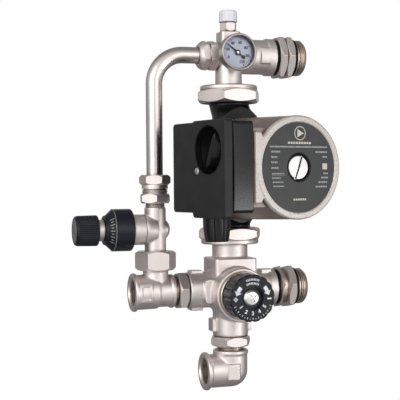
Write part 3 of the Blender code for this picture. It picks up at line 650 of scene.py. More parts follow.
def makePipe():
    s = pipeSettings
    startX = pumpX - 13.3
    bm = bmesh.new()
    bmesh.ops.create_circle(bm, segments=s["sides"], radius=pipeRadius)
    bmesh.ops.transform(bm, matrix=at(startX, 0, topZ) @ alongLeft, verts=bm.verts)

    def drawOut(vector):
        rim = [e for e in bm.edges if e.is_boundary or not e.link_faces]
        if bm.faces:
            reach = max(rim, key=lambda e: drawOut.order(e))
            height = drawOut.order(reach)
            rim = [e for e in rim if abs(drawOut.order(e) - height) < 1e-3]
        made = bmesh.ops.extrude_edge_only(bm, edges=rim)["geom"]
        moved = [v for v in made if isinstance(v, bmesh.types.BMVert)]
        bmesh.ops.translate(bm, verts=moved, vec=vector)

    drawOut.order = lambda e: -sum(v.co.x for v in e.verts) / 2
    drawOut(Vector((columnX + pipeBend - startX, 0, 0)))
    left = columnX + pipeBend
    rim = [e for e in bm.edges if all(abs(v.co.x - left) < 1e-3 for v in e.verts)]
    rim += list({v for e in rim for v in e.verts})
    bmesh.ops.spin(bm, geom=rim, cent=(left, 0, topZ - pipeBend), axis=(0, -1, 0),
                   angle=math.pi / 2, steps=s["bendSteps"])
    low = topZ - pipeBend
    drawOut.order = lambda e: -sum(v.co.z for v in e.verts) / 2
    drawOut(Vector((0, 0, 87.3 - low)))
    bmesh.ops.remove_doubles(bm, verts=bm.verts, dist=1e-3)
    bmesh.ops.recalc_face_normals(bm, faces=bm.faces)
    makePiece("bypass_pipe_polished",
              worked(bm, ("SOLIDIFY", {"thickness": s["wall"], "offset": -1.0})), pipeNickel,
              nodes=["bypass_pipe"])


def makePipeFittings():
    left = at(pumpX - 12.4, 0, topZ) @ alongLeft
    nut = hexBar(24.2, 0, 17.6, Matrix.Identity(4), 10, (1.2, 0))
    dome = turned([(0, 0), (13.4, 0), (13.9, 0.9), (13.9, 6.8), (13.2, 7.6), (11.9, 8.0),
                   (11.9, 9.0), (13.6, 9.6, 0.6), (13.8, 11.0, 0.8), (13.2, 13.8, 2.0),
                   (10.8, 16.6, 1.4), (9.6, 17.6), (0, 17.6)], soft=0.3)
    nut = boolean(nut, dome, "INTERSECT")
    nut = cut(nut, turned([(0, -1), (10.6, -1), (10.6, 13.6), (8, 15.7), (8, 18.6), (0, 18.6)]))
    makePiece("top_pipe_nut_nickel", placed(nut, left), castNickel, nodes=["top_pipe_nut"])
    place = at(columnX, 0, 92.6)
    nut = hexBar(24.6, 3.6, 12.6, place, 41, (1.4, 1.6))
    skirt = turned([(10.6, 0), (11.9, 0), (11.9, 4.2), (10.6, 4.2)], place)
    nut = cut(nut, turned([(0, -1), (10.7, -1), (10.7, 8.6), (8, 10.7), (8, 13.6), (0, 13.6)],
                          place))
    makePiece("lower_pipe_nut_nickel", together(nut, skirt), nutNickel,
              nodes=["lower_pipe_nut"])
    spanner = hexBar(25.0, 79.6, 88.4, upColumn, 21, (1.6, 1.6))
    bore = turned([(0, 64), (6.3, 64), (6.3, 86.9), (7.8, 86.9), (7.8, 100), (0, 100)],
                  upColumn, coarse)
    body = joined(spanner, rod(11.0, 87.8, 92.2, upColumn), rod(10.0, 92.0, 98.5, upColumn),
                  rod(8.2, 66, 80, upColumn))
    ridges = together(thread(11.0, 0.7, 1.4, 88.3, 92.3, upColumn),
                      thread(8.3, 0.6, 1.3, 75.6, 79.7, upColumn))
    makePiece("lower_pipe_adapter_nickel", cut(body, bore), castNickel,
              nodes=["lower_pipe_adapter"])
    makePiece("lower_pipe_adapter_thread", ridges, nutNickel)


makePipe()
makePipeFittings()
stageDone("bypass pipe made")


# ---- Differential bypass valve

bypassSettings = {"voxel": 0.45, "ribs": 44, "rib": 0.42, "ticks": 9}


def makeBypassValve():
    s = bypassSettings
    side = at(columnX, 0, bypassZ) @ alongLeft
    body = cast([
        turned([(0, 32.3), (14.6, 32.3), (14.6, 34.5), (9.65, 34.5), (9.65, 75.5), (9, 76.2),
                (0, 76.2)], upColumn, soft=0.5),
        turned([(0, -12.5), (5, -12.4, 2), (8.6, -9.5, 3), (8.6, 0), (0, 0)], side),
        turned([(0, 0), (12.5, 0), (13.6, 8), (13.6, 11), (0, 11)], side),
    ], s["voxel"], 10)
    body = cut(body, rod(7, 30, 64, upColumn, coarse), rod(8.5, 64, 78, upColumn, coarse),
               rod(9.3, 0, 12, side, coarse))
    makePiece("bypass_valve", body, castNickel, nodes=["bypass_valve_body"])
    bonnet = turned([(7.2, 7), (8.7, 7), (8.7, 11.3), (13.7, 11.3), (13.7, 23.5), (12, 24.5),
                     (12, 30), (3.9, 30), (3.9, 20), (7.2, 20)], side)
    makePiece("bypass_bonnet_nickel", bonnet, castNickel, nodes=["bypass_bonnet"])
    collar = turned([(14, 22.6), (17.6, 22.6), (18.9, 23.6, 1.0), (18.9, 40, 0.35),
                     (13.3, 46.0, 0.5), (13.0, 47.5), (8.4, 47.5), (8.4, 30.3), (14, 30.3)], side)
    makePiece("bypass_collar", collar, knobPlastic, nodes=["bypass_scale_collar"])
    marks = [ring(18.72, 18.94, 39.75, 40.2, side)]
    slope = math.degrees(math.atan2(18.9 - 13.3, 6.0))
    for i in range(s["ticks"]):
        angle = -128 + 76 * i / (s["ticks"] - 1)
        length = 4.4 if i % 2 == 0 else 2.6
        tick = box((-length / 2, -0.3, -0.06), (length / 2, 0.3, 0.06),
                   side @ turn(angle) @ at(16.35, 0, 42.75) @ turn(90 - slope, "Y"))
        marks.append(tick)
    makePiece("bypass_collar_marks", together(*marks), printGrey)
    neck = ring(8.6, 12.2, 44.0, 48.6, side, soft=0.6)
    del neck
    flats = s["ribs"]
    knob = turned([(0, 33), (3, 33), (3, 47.9), (7.9, 47.9), (7.9, 53.5), (13.0, 53.5),
                   (13.7, 54.4, 0.4), (13.35, 71.5, 0.4), (12.6, 73.4, 0.4), (11.3, 74),
                   (10.9, 73.2), (0, 73.2)], sides=264)
    knob = fluted(knob, 12.0, 53.6, 72.4,
                  lambda a: -s["rib"] * (0.5 + 0.5 * math.cos(flats * a)) ** 2, side)
    makePiece("bypass_grip", knob, knobPlastic, "bypass_dial", ["bypass_knob"])
    makePiece("bypass_grip_insert", rod(10.6, 73.0, 73.8, side, soft=0.3), insertPlastic,
              "bypass_dial")
    washer = ring(8.1, 9.6, 48.0, 53.2, side, soft=0.4)
    makePiece("bypass_knob_sleeve", washer, nutNickel, "bypass_dial")


makeBypassValve()
stageDone("bypass valve made")


# ---- Lower run

returnSettings = {"tube": 15.45, "bead": 17.3, "voxel": 0.5, "pitch": 1.8}


def makeReturnTee():
    s = returnSettings
    along = at(columnX, 0, 0) @ alongX
    main = cast([
        turned([(0, -22.4), (16.2, -22.4), (15.8, -18), (15.4, 0), (14, 1.5, 1), (14, 16),
                (0, 16)], along, soft=0.6),
        turned([(0, 0), (11.4, 0), (11.4, 19.2), (14.8, 19.6), (14.8, 30), (0, 30)], upColumn),
    ], s["voxel"], 9)
    bead = turned([(0, -22.5), (16.5, -22.5, 0.6), (s["bead"], -21.6, 0.7), (s["bead"], -19.6, 0.8),
                   (15.7, -18.2, 0.8), (0, -18.2)], along)
    rightBead = turned([(0, 12), (14, 12), (15.2, 12.8, 0.6), (15.2, 15.3, 0.6), (14.4, 16),
                        (0, 16)], along)
    frame_ = wallPad(s["tube"] + 1.4, -40, 40, along, (-161.8, -20, -8.8), (-150.0, 0, 8.6),
                     ((-159.6, -20, -6.2), (-152.2, 5, 6.2)))
    body = cast([main, bead, rightBead, frame_], s["voxel"], 2)
    body = cut(body, turned([(0, -24), (13.2, -24), (13.2, -22.4), (12.2, -21), (12.2, -9),
                             (9.5, -9), (9.5, 5), (12.2, 5), (12.2, 18), (0, 18)], along, fine, 0),
               rod(8, 0, 32, upColumn, coarse))
    makePiece("return_tee_cast", body, castNickel, nodes=["return_tee"])
    inner = thread(12.3, -0.8, s["pitch"], -21.2, -9.2, along)
    makePiece("return_tee_thread", inner, threadNickel)
    nut = hexBar(32.5, 19.6, 36.9, upColumn, 54, (1.3, 1.3), 0.35)
    bore = turned([(0, 18), (15.1, 18), (15.1, 34.8), (10, 34.8), (10, 38), (0, 38)], upColumn)
    makePiece("bypass_union_nut_nickel", cut(nut, bore), nutNickel, nodes=["bypass_union_nut"])


def makeReturnNipple():
    along = at(pumpX, 0, 0) @ alongX
    spanner = hexBar(31, -52.4, -43.4, along, 21, (1.2, 1.2), 0.3)
    spanner = cut(spanner, rod(9.5, -65, -30, along, coarse))
    makePiece("return_nipple_hexagon", spanner, nutNickel, nodes=["return_nipple"])
    core = together(ring(9.5, 11.2, -63, -52, along), ring(9.5, 13.0, -44, -32, along),
                    thread(11.2, 0.75, 1.8, -62.8, -52.2, along))
    makePiece("return_nipple_thread", core, threadNickel)


mixingSettings = {"voxel": 0.68, "pad": 1.0}


def makeMixingBody():
    s = mixingSettings
    along = at(pumpX, 0, 0) @ alongX
    front = at(pumpX, 0, knobZ) @ alongFront
    end = runEnd - pumpX
    main = cast([
        turned([(0, -42.7), (16, -42.7), (16.5, -42), (16.5, end - 1), (16.2, end), (0, end)],
               along),
        turned([(0, -43), (15.8, -43), (16.3, -42.3), (16.3, 42), (22.3, 44.8), (22.3, 46.1),
                (0, 46.1)], upPump, soft=0.5),
        box((-20, -19, 0), (20, 19, 29), upPump, corner=3.5, soft=0.5),
        turned([(0, -21), (17, -21), (21, -17), (24.4, 8, 3), (24.4, 32.5), (23.6, 33.6),
                (0, 33.6)], front, soft=0.5),
        box((-30, -11.6, 0), (0, 10.8, 18.0), upPump @ turn(90, "X"), corner=3.5, soft=0.6),
    ], s["voxel"], 4)
    pads = [
        box((way * 17.4 - 2.0, -6.5, -38.5), (way * 17.4 + 1.4, 6.5, -26.5), upPump, soft=0.5)
        for way in (-1, 1)
    ]
    pads += [
        box((-39.4, -6.5, way * 16.4 - 2), (-28.4, 6.5, way * 16.4 + 1.8), upPump, soft=0.5)
        for way in (-1, 1)
    ]
    pads += [box((27.5, -9.5, 12.5), (37.5, 3, 17.6), upPump, soft=0.6),
             rod(17.3, end - 8, end - 0.6, along, soft=0.5)]
    body = cast([main, *pads], s["voxel"], 2)
    body = cut(
        body,
        turned([(0, -44), (13.5, -44), (13.5, -31), (10.5, -31), (10.5, 0), (12.5, 4),
                (12.5, end - 14), (15.3, end - 14), (15.3, end + 2), (0, end + 2)], along,
               coarse, 0),
        turned([(0, -45), (13.5, -45), (13.5, -32), (11.5, -32), (11.5, 48), (0, 48)], upPump,
               coarse, 0),
        rod(17.5, -8, 35, front),
        box((-19.3, -3.6, -35.6), (-18.0, 3.6, -29.4), upPump),
        box((18.0, -3.6, -35.6), (19.3, 3.6, -29.4), upPump),
    )
    makePiece("mixing_valve_cast", body, castNickel, nodes=["mixing_valve_body"])
    arrow = slab([(-0.7, -3.2), (0.7, -3.2), (0.7, 0.4), (2.2, 0.4), (0, 3.2), (-2.2, 0.4),
                  (-0.7, 0.4)], 12, 22, at(pumpX - 1.5, 0, -33.5) @ alongFront)
    arrow = boolean(rod(16.75, -42, -20, upPump, fine, 0), arrow, "INTERSECT")
    makePiece("flow_arrow", arrow, castNickel)
    bonnet = turned([(4.4, 20), (10.5, 20), (10.5, 26), (17.2, 26), (17.2, 33.9), (21.0, 33.9),
                     (21.8, 34.6), (21.8, 36.4), (21.2, 37), (12, 37), (12, 42), (4.4, 42)], front)
    makePiece("mixing_bonnet_nickel", bonnet, threadNickel, nodes=["mixing_bonnet"])


dialKnob = {"radius": 20.9, "lobes": 16, "notch": 1.3, "face": 58.0, "print": 0.12}


def makeMixingKnob():
    s = dialKnob
    front = at(pumpX, 0, knobZ) @ alongFront
    knob = turned([(0, 37.3), (19.6, 37.3), (20.7, 38.6, 0.6), (20.9, 57.0, 0.5),
                   (19.8, s["face"], 0.5), (10.8, s["face"], 0.4), (10.2, 57.2), (9.9, 53.9),
                   (0, 53.9)], sides=384)
    half = s["lobes"] / 2

    def notches(angle):
        return -s["notch"] * (1 - abs(math.sin(half * angle))) ** 2.2

    knob = fluted(knob, 19.0, 30, 57.9, notches, front)
    makePiece("mixing_knob_lobed", knob, knobPlastic, "mixing_dial", ["mixing_knob"])
    low, high = s["face"] - 0.02, s["face"] + s["print"]
    prints = []
    # curved arrows at the upper left and upper right
    for way in (1, -1):
        arc = ring(13.0, 16.4, low, high, soft=0)
        wedge = [(0, 0), (30 * way, 12), (30 * way, 27)]
        arc = boolean(arc, slab(wedge, low - 1, high + 1), "INTERSECT")
        prints.append(placed(arc, front))
        tip = [(11.4, 0), (18.0, 0), (14.9, -3.6)]
        tip = [(x * way, y) for x, y in tip]
        prints.append(slab(tip, low, high, front @ turn(23 * way)))
    cross = front @ at(-15.8, -0.6, 0)
    prints += [box((-1.9, -0.65, low), (1.9, 0.65, high), cross),
               box((-0.65, -1.9, low), (0.65, 1.9, high), cross),
               box((13.6, -1.3, low), (17.4, 0, high), front)]
    for i, word in enumerate("12345"):
        angle = math.radians(214 + 28 * i)
        spot = at(13.2 * math.cos(angle), 13.2 * math.sin(angle), (low + high) / 2)
        prints.append(textShape(word, 4.6, high - low, front @ spot @ turn(28 * (i - 2))))
    for i in range(17):
        angle = 203 + 8.4 * i
        long = 0.9 if i % 2 else 1.7
        prints.append(box((18.6 - long, -0.22, low), (18.6, 0.22, high), front @ turn(angle)))
    for i in range(9):
        prints.append(box((12.2, -0.35, low), (14.0, 0.35, high), front @ turn(66 + 6 * i)))
        prints.append(box((15.6, -0.35, low), (17.4, 0.35, high), front @ turn(70 + 5 * i)))
    makePiece("mixing_knob_print", together(*prints), printWhite, "mixing_dial")
    screw = turned([(0, 51), (2.2, 51), (2.2, 54.3), (7.6, 54.3), (7.6, 55.4, 0.5),
                    (5.6, 57.2, 1.2), (0, 58.2)], front, soft=0.2)
    for angle in (32, 122):
        screw = cut(screw, box((-3.6, -0.75, 56.6), (3.6, 0.75, 60), front @ turn(angle)))
    makePiece("mixing_knob_screw_head", screw, brightSteel, "mixing_dial",
              ["mixing_knob_screw"])


elbowSettings = {"tube": 15.4, "voxel": 0.52, "pad": 1.0}


def makeLowerConnection():
    s = elbowSettings
    spanner = hexBar(33.5, -52.4, -43.3, upPump, 2, (1.3, 1.3), 0.35)
    spanner = cut(spanner, rod(9.8, -68, -30, upPump, coarse))
    makePiece("lower_nipple_hexagon", spanner, nutNickel, nodes=["lower_nipple"])
    core = together(ring(9.8, 13.2, -44, -33, upPump), ring(9.8, 11.6, -66, -52, upPump),
                    thread(11.6, 0.7, 1.8, -65, -52.3, upPump))
    makePiece("lower_nipple_thread", core, threadNickel)
    along = at(pumpX, 0, elbowZ) @ alongX
    ball = bmesh.new()
    bmesh.ops.create_uvsphere(ball, u_segments=64, v_segments=32, radius=s["tube"])
    main = cast([
        rod(s["tube"], elbowZ, -56, upPump),
        rod(s["tube"], -24, 0, along),
        placed(ball, at(pumpX, 0, elbowZ)),
    ], s["voxel"], 22)
    topBead = turned([(0, -60.5), (15.2, -60.5), (16.3, -59.2, 0.8), (16.3, -56.6, 0.8),
                      (15.4, -55.8), (0, -55.8)], upPump)
    bead = turned([(0, -26.5), (16.6, -26.5, 0.6), (17.5, -25.6, 0.7), (17.5, -23.4, 0.8),
                   (15.6, -21.6, 0.8), (0, -21.6)], along)
    pad = wallPad(s["tube"] + s["pad"], -100, -40, upPump, (-80.4, -20, -82.2),
                  (-68.6, 0, -67.8))
    flatPad = box((-80.2, -16.4, -82), (-68.8, -8, -68), soft=0.4)
    body = cast([main, topBead, bead, pad, flatPad], s["voxel"], 3)
    body = cut(body,
               turned([(0, -80), (9.8, -80), (9.8, -67), (12.6, -67), (12.6, -54), (0, -54)],
                      upPump, coarse, 0),
               turned([(0, -28), (13.4, -28), (13.4, -26.4), (12.4, -25), (12.4, -12),
                       (9.8, -12), (9.8, 0), (0, 4)], along, fine, 0))
    makePiece("return_elbow_cast", body, castNickel, nodes=["return_elbow"])
    inner = thread(12.5, -0.8, 1.8, -25.2, -12.2, along)
    makePiece("return_elbow_thread", inner, threadNickel)


makeReturnTee()
makeReturnNipple()
makeMixingBody()
makeMixingKnob()
makeLowerConnection()
stageDone("lower run made")


# ---- Union nuts

unionSettings = {"flats": 53.0, "turn": 3.5}


def makeUnions():
    s = unionSettings
    nut = hexBar(s["flats"], 170.4, 182.4, upPump, s["turn"], (1.0, 1.1), 0.4)
    bore = turned([(0, 169), (23.9, 169), (23.9, 183.5), (12.8, 183.5), (12.8, 188), (0, 188)],
                  upPump)
    collar = turned([(12.8, 182), (26.0, 182), (26.4, 183), (26.4, 185.4, 0.6), (25.2, 186.4),
                     (12.8, 186.4)], upPump)
    nut = cut(joined(nut, collar), bore)
    makePiece("upper_union_nut_nickel", nut, nutNickel, nodes=["upper_union_nut"])
    nut = hexBar(s["flats"], 45.4, 56.4, upPump, s["turn"], (1.1, 1.0), 0.4)
    collar = turned([(12, 41.6), (25.2, 41.6), (26.4, 42.6, 0.6), (26.4, 45), (26, 46),
                     (12, 46)], upPump)
    bore = turned([(0, 40), (16.7, 40), (16.7, 42.6), (22.8, 44.6), (23.9, 46.2), (23.9, 58),
                   (0, 58)], upPump)
    makePiece("lower_union_nut_nickel", cut(joined(nut, collar), bore), nutNickel,
              nodes=["lower_union_nut"])


makeUnions()
stageDone("union nuts made")


# ---- Circulator

voluteSettings = {"voxel": 0.85}


# A neck of the volute: round loops bridged from the port down to the scroll
def neckShape(way, stations):
    bm = bmesh.new()
    forwards = Vector((math.sin(math.radians(14)), -math.cos(math.radians(14)), 0))
    edges = []
    for depth, radius, ahead in stations:
        height = 113.5 + way * (65 - depth)
        made = bmesh.ops.create_circle(bm, segments=64, radius=radius,
                                       cap_ends=depth in (stations[0][0], stations[-1][0]))
        verts = made["verts"]
        bmesh.ops.translate(bm, verts=verts, vec=Vector((pumpX, 0, height)) + forwards * ahead)
        edges.append(list({e for v in verts for e in v.link_edges if len(v.link_edges) <= 3
                           and e.other_vert(v) in verts}))
    for first, second in zip(edges, edges[1:]):
        bmesh.ops.bridge_loops(bm, edges=first + second)
    return placed(bm)


def makeVolute():
    s = voluteSettings
    shapes = [turned([(0, -14), (20, -14, 4), (34, -11, 6), (42, -5, 5), (45, 4, 5), (45.5, 12),
                      (45.5, 20.5), (0, 20.5)], pumpFrame)]
    hollows = []
    for way in (1, -1):
        port = 113.5 + way * 65
        shapes.append(turned([(0, port), (22.8, port), (23.4, port - way * 0.7),
                              (23.4, port - way * 8), (0, port - way * 8)], upPump))
        shapes.append(neckShape(way, ((6, 19.2, 0), (10, 18.3, 0.4), (14, 18.6, 2.5),
                                      (21.5, 20.8, 10), (36, 21, 8))))
        hollows.append(neckShape(way, ((-2, 13, 0), (13, 13, 0), (23, 12.5, 5), (40, 12, 4))))
    body = cast(shapes, s["voxel"], 8)
    body = cut(body, box((-60, -60, 20.4), (60, 60, 60), pumpFrame),
               turned([(0, -9), (24, -9), (34, -5), (38.5, 6), (38.5, 22), (0, 22)], pumpFrame,
                      coarse, 0), *hollows)
    makePiece("pump_volute_cast", body, blackIron, nodes=["pump_volute"],
              sharp=40)


def makeMotor():
    housing = turned([(0, 22.8), (45.8, 22.8), (45.8, 27), (45.2, 40), (43.6, 100.5),
                      (0, 100.5)], pumpFrame, 128, 0.6)
    saddle = box((-50, -33, 23.5), (-20, 33, 100.1), pumpFrame, soft=0.8)
    housing = cut(joined(housing, saddle), rod(39.5, 20, 92, pumpFrame, coarse),
                  rod(12.3, 90, 103, pumpFrame, coarse),
                  box((-60, -60, 20), (-44, 60, 110), pumpFrame))
    makePiece("stator_housing_cast", housing, motorPaint, nodes=["stator_housing"])
    ear = slab([(-44, -29), (-38, -29), (-35.5, -24), (-28, -30), (-28, 30), (-35.5, 24),
                (-38, 29), (-44, 29)], 99.7, 103.2)
    face = turned([(0, 99.4), (43.4, 99.4), (43.8, 100.2), (43.8, 102.6), (42.8, 104), (0, 104)],
                  sides=128, soft=0.4)
    plate = cast([ear, face], 0.6, 2)
    plate = cut(plate, turned([(0, 102.4), (37.9, 102.4), (37.9, 103.2), (39.2, 104.6),
                               (0, 104.6)], sides=128, soft=0), rod(12.6, 98, 105))
    makePiece("motor_front", placed(plate, faceFrame), speckled, nodes=["motor_front_plate"])
    makePiece("label_disc_film", ring(12.4, 37.7, 102.5, 103.3, faceFrame, 128, 0.15),
              labelFilm, nodes=["label_disc"])
    makePiece("vent_screw_seat", ring(10.9, 12.3, 101.0, 103.5, faceFrame, soft=0.3),
              rubberFinish)
    makeLabel()
    screw = turned([(0, 96), (8.2, 96), (8.2, 100), (10.4, 100), (10.4, 102.2, 0.6),
                    (9.4, 103.0, 0.6), (0, 103.2)], faceFrame, fine, 0.2)
    slot = box((-12, -0.9, 101.5), (12, 0.9, 105), faceFrame @ turn(70))
    screw = cut(screw, slot)
    # A thin black sheet at the bottom of the screw's slot: painted shade
    shade = boolean(rod(9.5, 101.3, 101.56, faceFrame, fine, 0),
                    box((-12, -0.86, 101), (12, 0.86, 102), faceFrame @ turn(70)), "INTERSECT")
    makePiece("pump_vent_screw_slot_shade", shade, blackIron, "vent_screw")
    makePiece("pump_vent_screw_head", screw, brightSteel, "vent_screw", ["pump_vent_screw"])


# Plain lines where a rating plate's rows stand, a pump symbol and a pale square
labelSettings = {"low": 103.26, "high": 103.36}


def makeLabel():
    s = labelSettings
    low, high = s["low"], s["high"]
    rows = [(-30, 17.2, 60, 1.3), (-28.6, 13.0, 9, 1.4), (17.5, 13.0, 12.6, 1.4),
            (-28.6, 8.6, 6.0, 1.4), (25.2, 8.9, 4.6, 1.4), (-28.6, 4.2, 6.4, 1.4),
            (-28.6, -0.4, 7.4, 1.4), (-28.0, -5.2, 12.6, 1.2), (26.0, -5.0, 5.0, 1.4),
            (-28.0, -8.8, 9.0, 1.1), (23.5, -8.6, 7.6, 1.4), (-27.4, -12.2, 11.0, 1.1),
            (20.5, -12.4, 10.2, 1.4), (-26.6, -15.6, 11.6, 1.1), (17.6, -16.2, 12.0, 1.4)]
    fineRows, bright = [], []
    for x, y, length, height in rows:
        start, step = x, 0
        while start < x + length - 0.6:
            dash = (1.6, 0.9, 1.3, 2.1)[step % 4]
            dash = min(dash, x + length - start)
            fineRows.append(box((start, y - height / 2, low), (start + dash, y + height / 2, high),
                                faceFrame))
            start += dash + 0.45
            step += 1
    fineRows.append(box((-28, -6.9, low), (-14.5, -6.7, high), faceFrame))
    makePiece("label_rows", together(*fineRows), printGrey)
    outer = ring(5.2, 5.9, low, high, faceFrame @ at(1.2, 28.6, 0), coarse, 0)
    wedge = slab([(-2.7, -3.4), (4.0, 0), (-2.7, 3.4)], low, high, faceFrame @ at(1.2, 28.6, 0))
    bright += [outer, wedge]
    for i in range(9):
        left = -11.5 + i * 2.75
        bright.append(box((left, 19.6, low), (left + 2.1, 21.4, high), faceFrame))
    for i in range(6):
        left = -6.0 + i * 2.3
        bright.append(box((left, -27.6, low), (left + 1.7, -26.0, high), faceFrame))
    bright.append(box((24.9, -1.6, low), (29.9, 3.4, high), faceFrame))
    makePiece("label_marks", together(*bright), printPale)


boxSettings = {"voxel": 0.62, "dial": (77.0, 14.5), "grip": 66.0, "bow": 1.3}


def makeTerminalBox():
    s = boxSettings
    x, y = s["dial"]
    base = box((20.7, -37.5, 44.3), (101.7, 38.5, 64.2), corner=3.2, soft=0.7)
    across = [e for e in base.edges
              if abs(e.verts[0].co.y - e.verts[1].co.y) > 40 and e.verts[0].co.x > 90]
    bmesh.ops.subdivide_edges(base, edges=across, cuts=15, use_grid_fill=True)
    base = cut(base, box((23.2, -35, 46.8), (99.2, 36, 66), corner=2),
               rod(7, -50, -30, at(61, 0, 54) @ alongFront.inverted(), coarse))
    for v in base.verts:
        if v.co.x > 101.0:
            v.co.x += s["bow"] * (1 - ((v.co.y - 0.5) / 38) ** 2)
    makePiece("terminal_box_base_plastic", placed(base, boxFrame), glossPlastic,
              nodes=["terminal_box_base"])
    cover = cast([
        box((20.7, -37.5, 64.5), (101.7, 38.5, 72.5), corner=3.2),
        box((52, -41.7, 64.5), (102, 39.7, 72.5), corner=3.2),
    ], s["voxel"], 3)
    cover = cut(cover, box((23.2, -35, 60), (99.2, 36, 70.3), corner=2))
    well = turned([(0, 57.5), (21.2, 57.5), (21.2, 71.5), (0, 71.5)], at(x, y, 0))
    cover = joined(cover, well, rod(4.0, 62.5, 71.5, at(58, -2.5, 0), coarse))
    cover = cut(cover,
                turned([(0, 59.0), (17.5, 59.0, 3.0), (20.0, 66, 3), (20.2, 75), (0, 75)],
                       at(x, y, 0)),
                rod(2.2, 56, 75, at(58, -2.5, 0), coarse),
                turned([(0, 70), (3.9, 70), (4.1, 75), (0, 75)], at(58, -2.5, 0)),
                rod(3.3, 55, 60, at(x, y, 0), coarse))
    makePiece("terminal_box_lid", placed(cover, boxFrame), charcoalPlastic,
              nodes=["terminal_box_cover"], sharp=40)
    # Darker gloss sheets laid over the selector well's upright and sloping walls: painted shade in
    # the recess
    wallShade = turned([(19.4, 65.5), (19.8, 65.5), (20.15, 72.2), (21.2, 72.62), (21.0, 72.8),
                    (20.0, 72.5)], boxFrame @ at(x, y, 0), soft=0.1)
    floor = turned([(16.9, 58.9), (17.3, 59.1), (19.9, 65.9), (19.4, 66.1)],
                   boxFrame @ at(x, y, 0), soft=0.1)
    makePiece("selector_well_shade_sheet", together(wallShade, floor), glossPlastic)
    screwPlace = boxFrame @ at(58, -2.5, 0)
    head = turned([(0, 61), (1.8, 61), (1.8, 70.3), (3.4, 70.3), (3.4, 71.5, 0.4), (2.6, 72.1),
                   (0, 72.2)], screwPlace, coarse, 0.1)
    head = cut(head, box((-4, -0.45, 71.4), (4, 0.45, 74), screwPlace @ turn(40)))
    makePiece("cover_screw_head", head, brightSteel, nodes=["cover_screw"])
    grip = slab([(-16.6, -2.4), (-13, -6.4), (-4, -8.4), (4, -8.4), (13, -6.4), (16.6, -2.4),
                 (16.6, 2.4), (13, 6.4), (4, 8.4), (-4, 8.4), (-13, 6.4), (-16.6, 2.4)],
                61, 71.2)
    for v in grip.verts:
        if v.co.z > 70:
            v.co.y = v.co.y * 0.22 - 1.2
            v.co.x *= 0.93
    grip = bevelled(grip, 0.7, 20)
    selector = cast([placed(grip, turn(s["grip"])), rod(17.0, 59.5, 61.6, soft=0.6)], 0.4, 4)
    selector = joined(selector, rod(3.0, 52, 60.4, sides=coarse))
    makePiece("speed_selector_grip", placed(selector, boxFrame @ at(x, y, 0)), glossPlastic,
              "speed_knob", ["speed_selector"])


glandSettings = {"ribs": 4, "notch": 1.0, "edge": 20}


def makeGland():
    s = glandSettings
    down = boxFrame @ at(61, 0, 54) @ alongFront
    body = joined(rod(9.6, 37.8, 41.5, down, coarse), rod(6.7, 33, 38.2, down, coarse))
    makePiece("cable_gland_body", cut(body, rod(4.2, 30, 44, down, coarse)), glossPlastic,
              nodes=["cable_gland"])
    nut = turned([(7.5, 41.8), (11.6, 41.8), (11.8, 42.6), (11.6, 50), (10.6, 58), (9.6, 62),
                  (4.2, 62), (4.2, 60), (7.5, 58)], sides=240, soft=0.4)
    nut = fluted(nut, 8.8, 42.0, 61.8,
                 lambda a: -s["notch"] * abs(math.cos(s["ribs"] * a)) ** s["edge"], down)
    makePiece("cable_gland_nut_ribbed", nut, glossPlastic, nodes=["cable_gland_nut"])


makeVolute()
makeMotor()
makeTerminalBox()
makeGland()
stageDone("circulator made")


# ---- CAD nodes that stay as they are: inner pieces, given a finish each

keptFinishes = {
    "bypass_union_gasket": rubberFinish, "upper_union_gasket": rubberFinish,
    "lower_union_gasket": rubberFinish, "top_pipe_ferrule": copperFinish,
    "lower_pipe_ferrule": copperFinish, "bypass_plunger": nutNickel,
    "bypass_spring": brightSteel, "mixing_spindle": nutNickel, "mixing_piston": nutNickel,
    "pump_impeller": charcoalPlastic, "rotor_shaft": brightSteel, "rotor_core": brightSteel,
    "bearing_plate": brightSteel, "rotor_can": brightSteel, "stator_winding": copperFinish,
}
for name, finish in keptFinishes.items():
    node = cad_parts[name]
    node.data.materials.clear()
    node.data.materials.append(finish)
stageDone("inner pieces finished")


# ---- Floor, light and camera

studio = {"floorZ": -0.42, "floorSize": 60.0, 
          "floorFade": {"From Min": -0.12, "From Max": -0.55, "To Min": 0.16, "To Max": 0.62}}


def makeFloor():
    bm = bmesh.new()
    bmesh.ops.create_grid(bm, x_segments=1, y_segments=1, size=studio["floorSize"] / 2)
    bmesh.ops.translate(bm, vec=(0, 0, studio["floorZ"]), verts=bm.verts)
    mesh = bpy.data.meshes.new("floor")
    bm.to_mesh(mesh)
    bm.free()
    floor = bpy.data.objects.new("floor", mesh)
    bpy.context.scene.collection.objects.link(floor)
    surface = bpy.data.materials.new("pale_floor")
    surface.use_nodes = True
    tree = surface.node_tree
    tree.nodes.clear()
    path = tree.nodes.new("ShaderNodeLightPath")
    glow = tree.nodes.new("ShaderNodeEmission")
    coord = tree.nodes.new("ShaderNodeTexCoord")
    split = tree.nodes.new("ShaderNodeSeparateXYZ")
    tree.links.new(coord.outputs["Object"], split.inputs["Vector"])
    ahead = tree.nodes.new("ShaderNodeMapRange")
    for key, number in studio["floorFade"].items():
        ahead.inputs[key].default_value = number
    tree.links.new(split.outputs["Y"], ahead.inputs["Value"])
    strength = tree.nodes.new("ShaderNodeMapRange")
    tree.links.new(ahead.outputs["Result"], strength.inputs["To Min"])
    strength.inputs["To Max"].default_value = 1.0
    tree.links.new(path.outputs["Is Camera Ray"], strength.inputs["Value"])
    tree.links.new(strength.outputs["Result"], glow.inputs["Strength"])
    out = tree.nodes.new("ShaderNodeOutputMaterial")
    tree.links.new(glow.outputs["Emission"], out.inputs["Surface"])
    mesh.materials.append(surface)


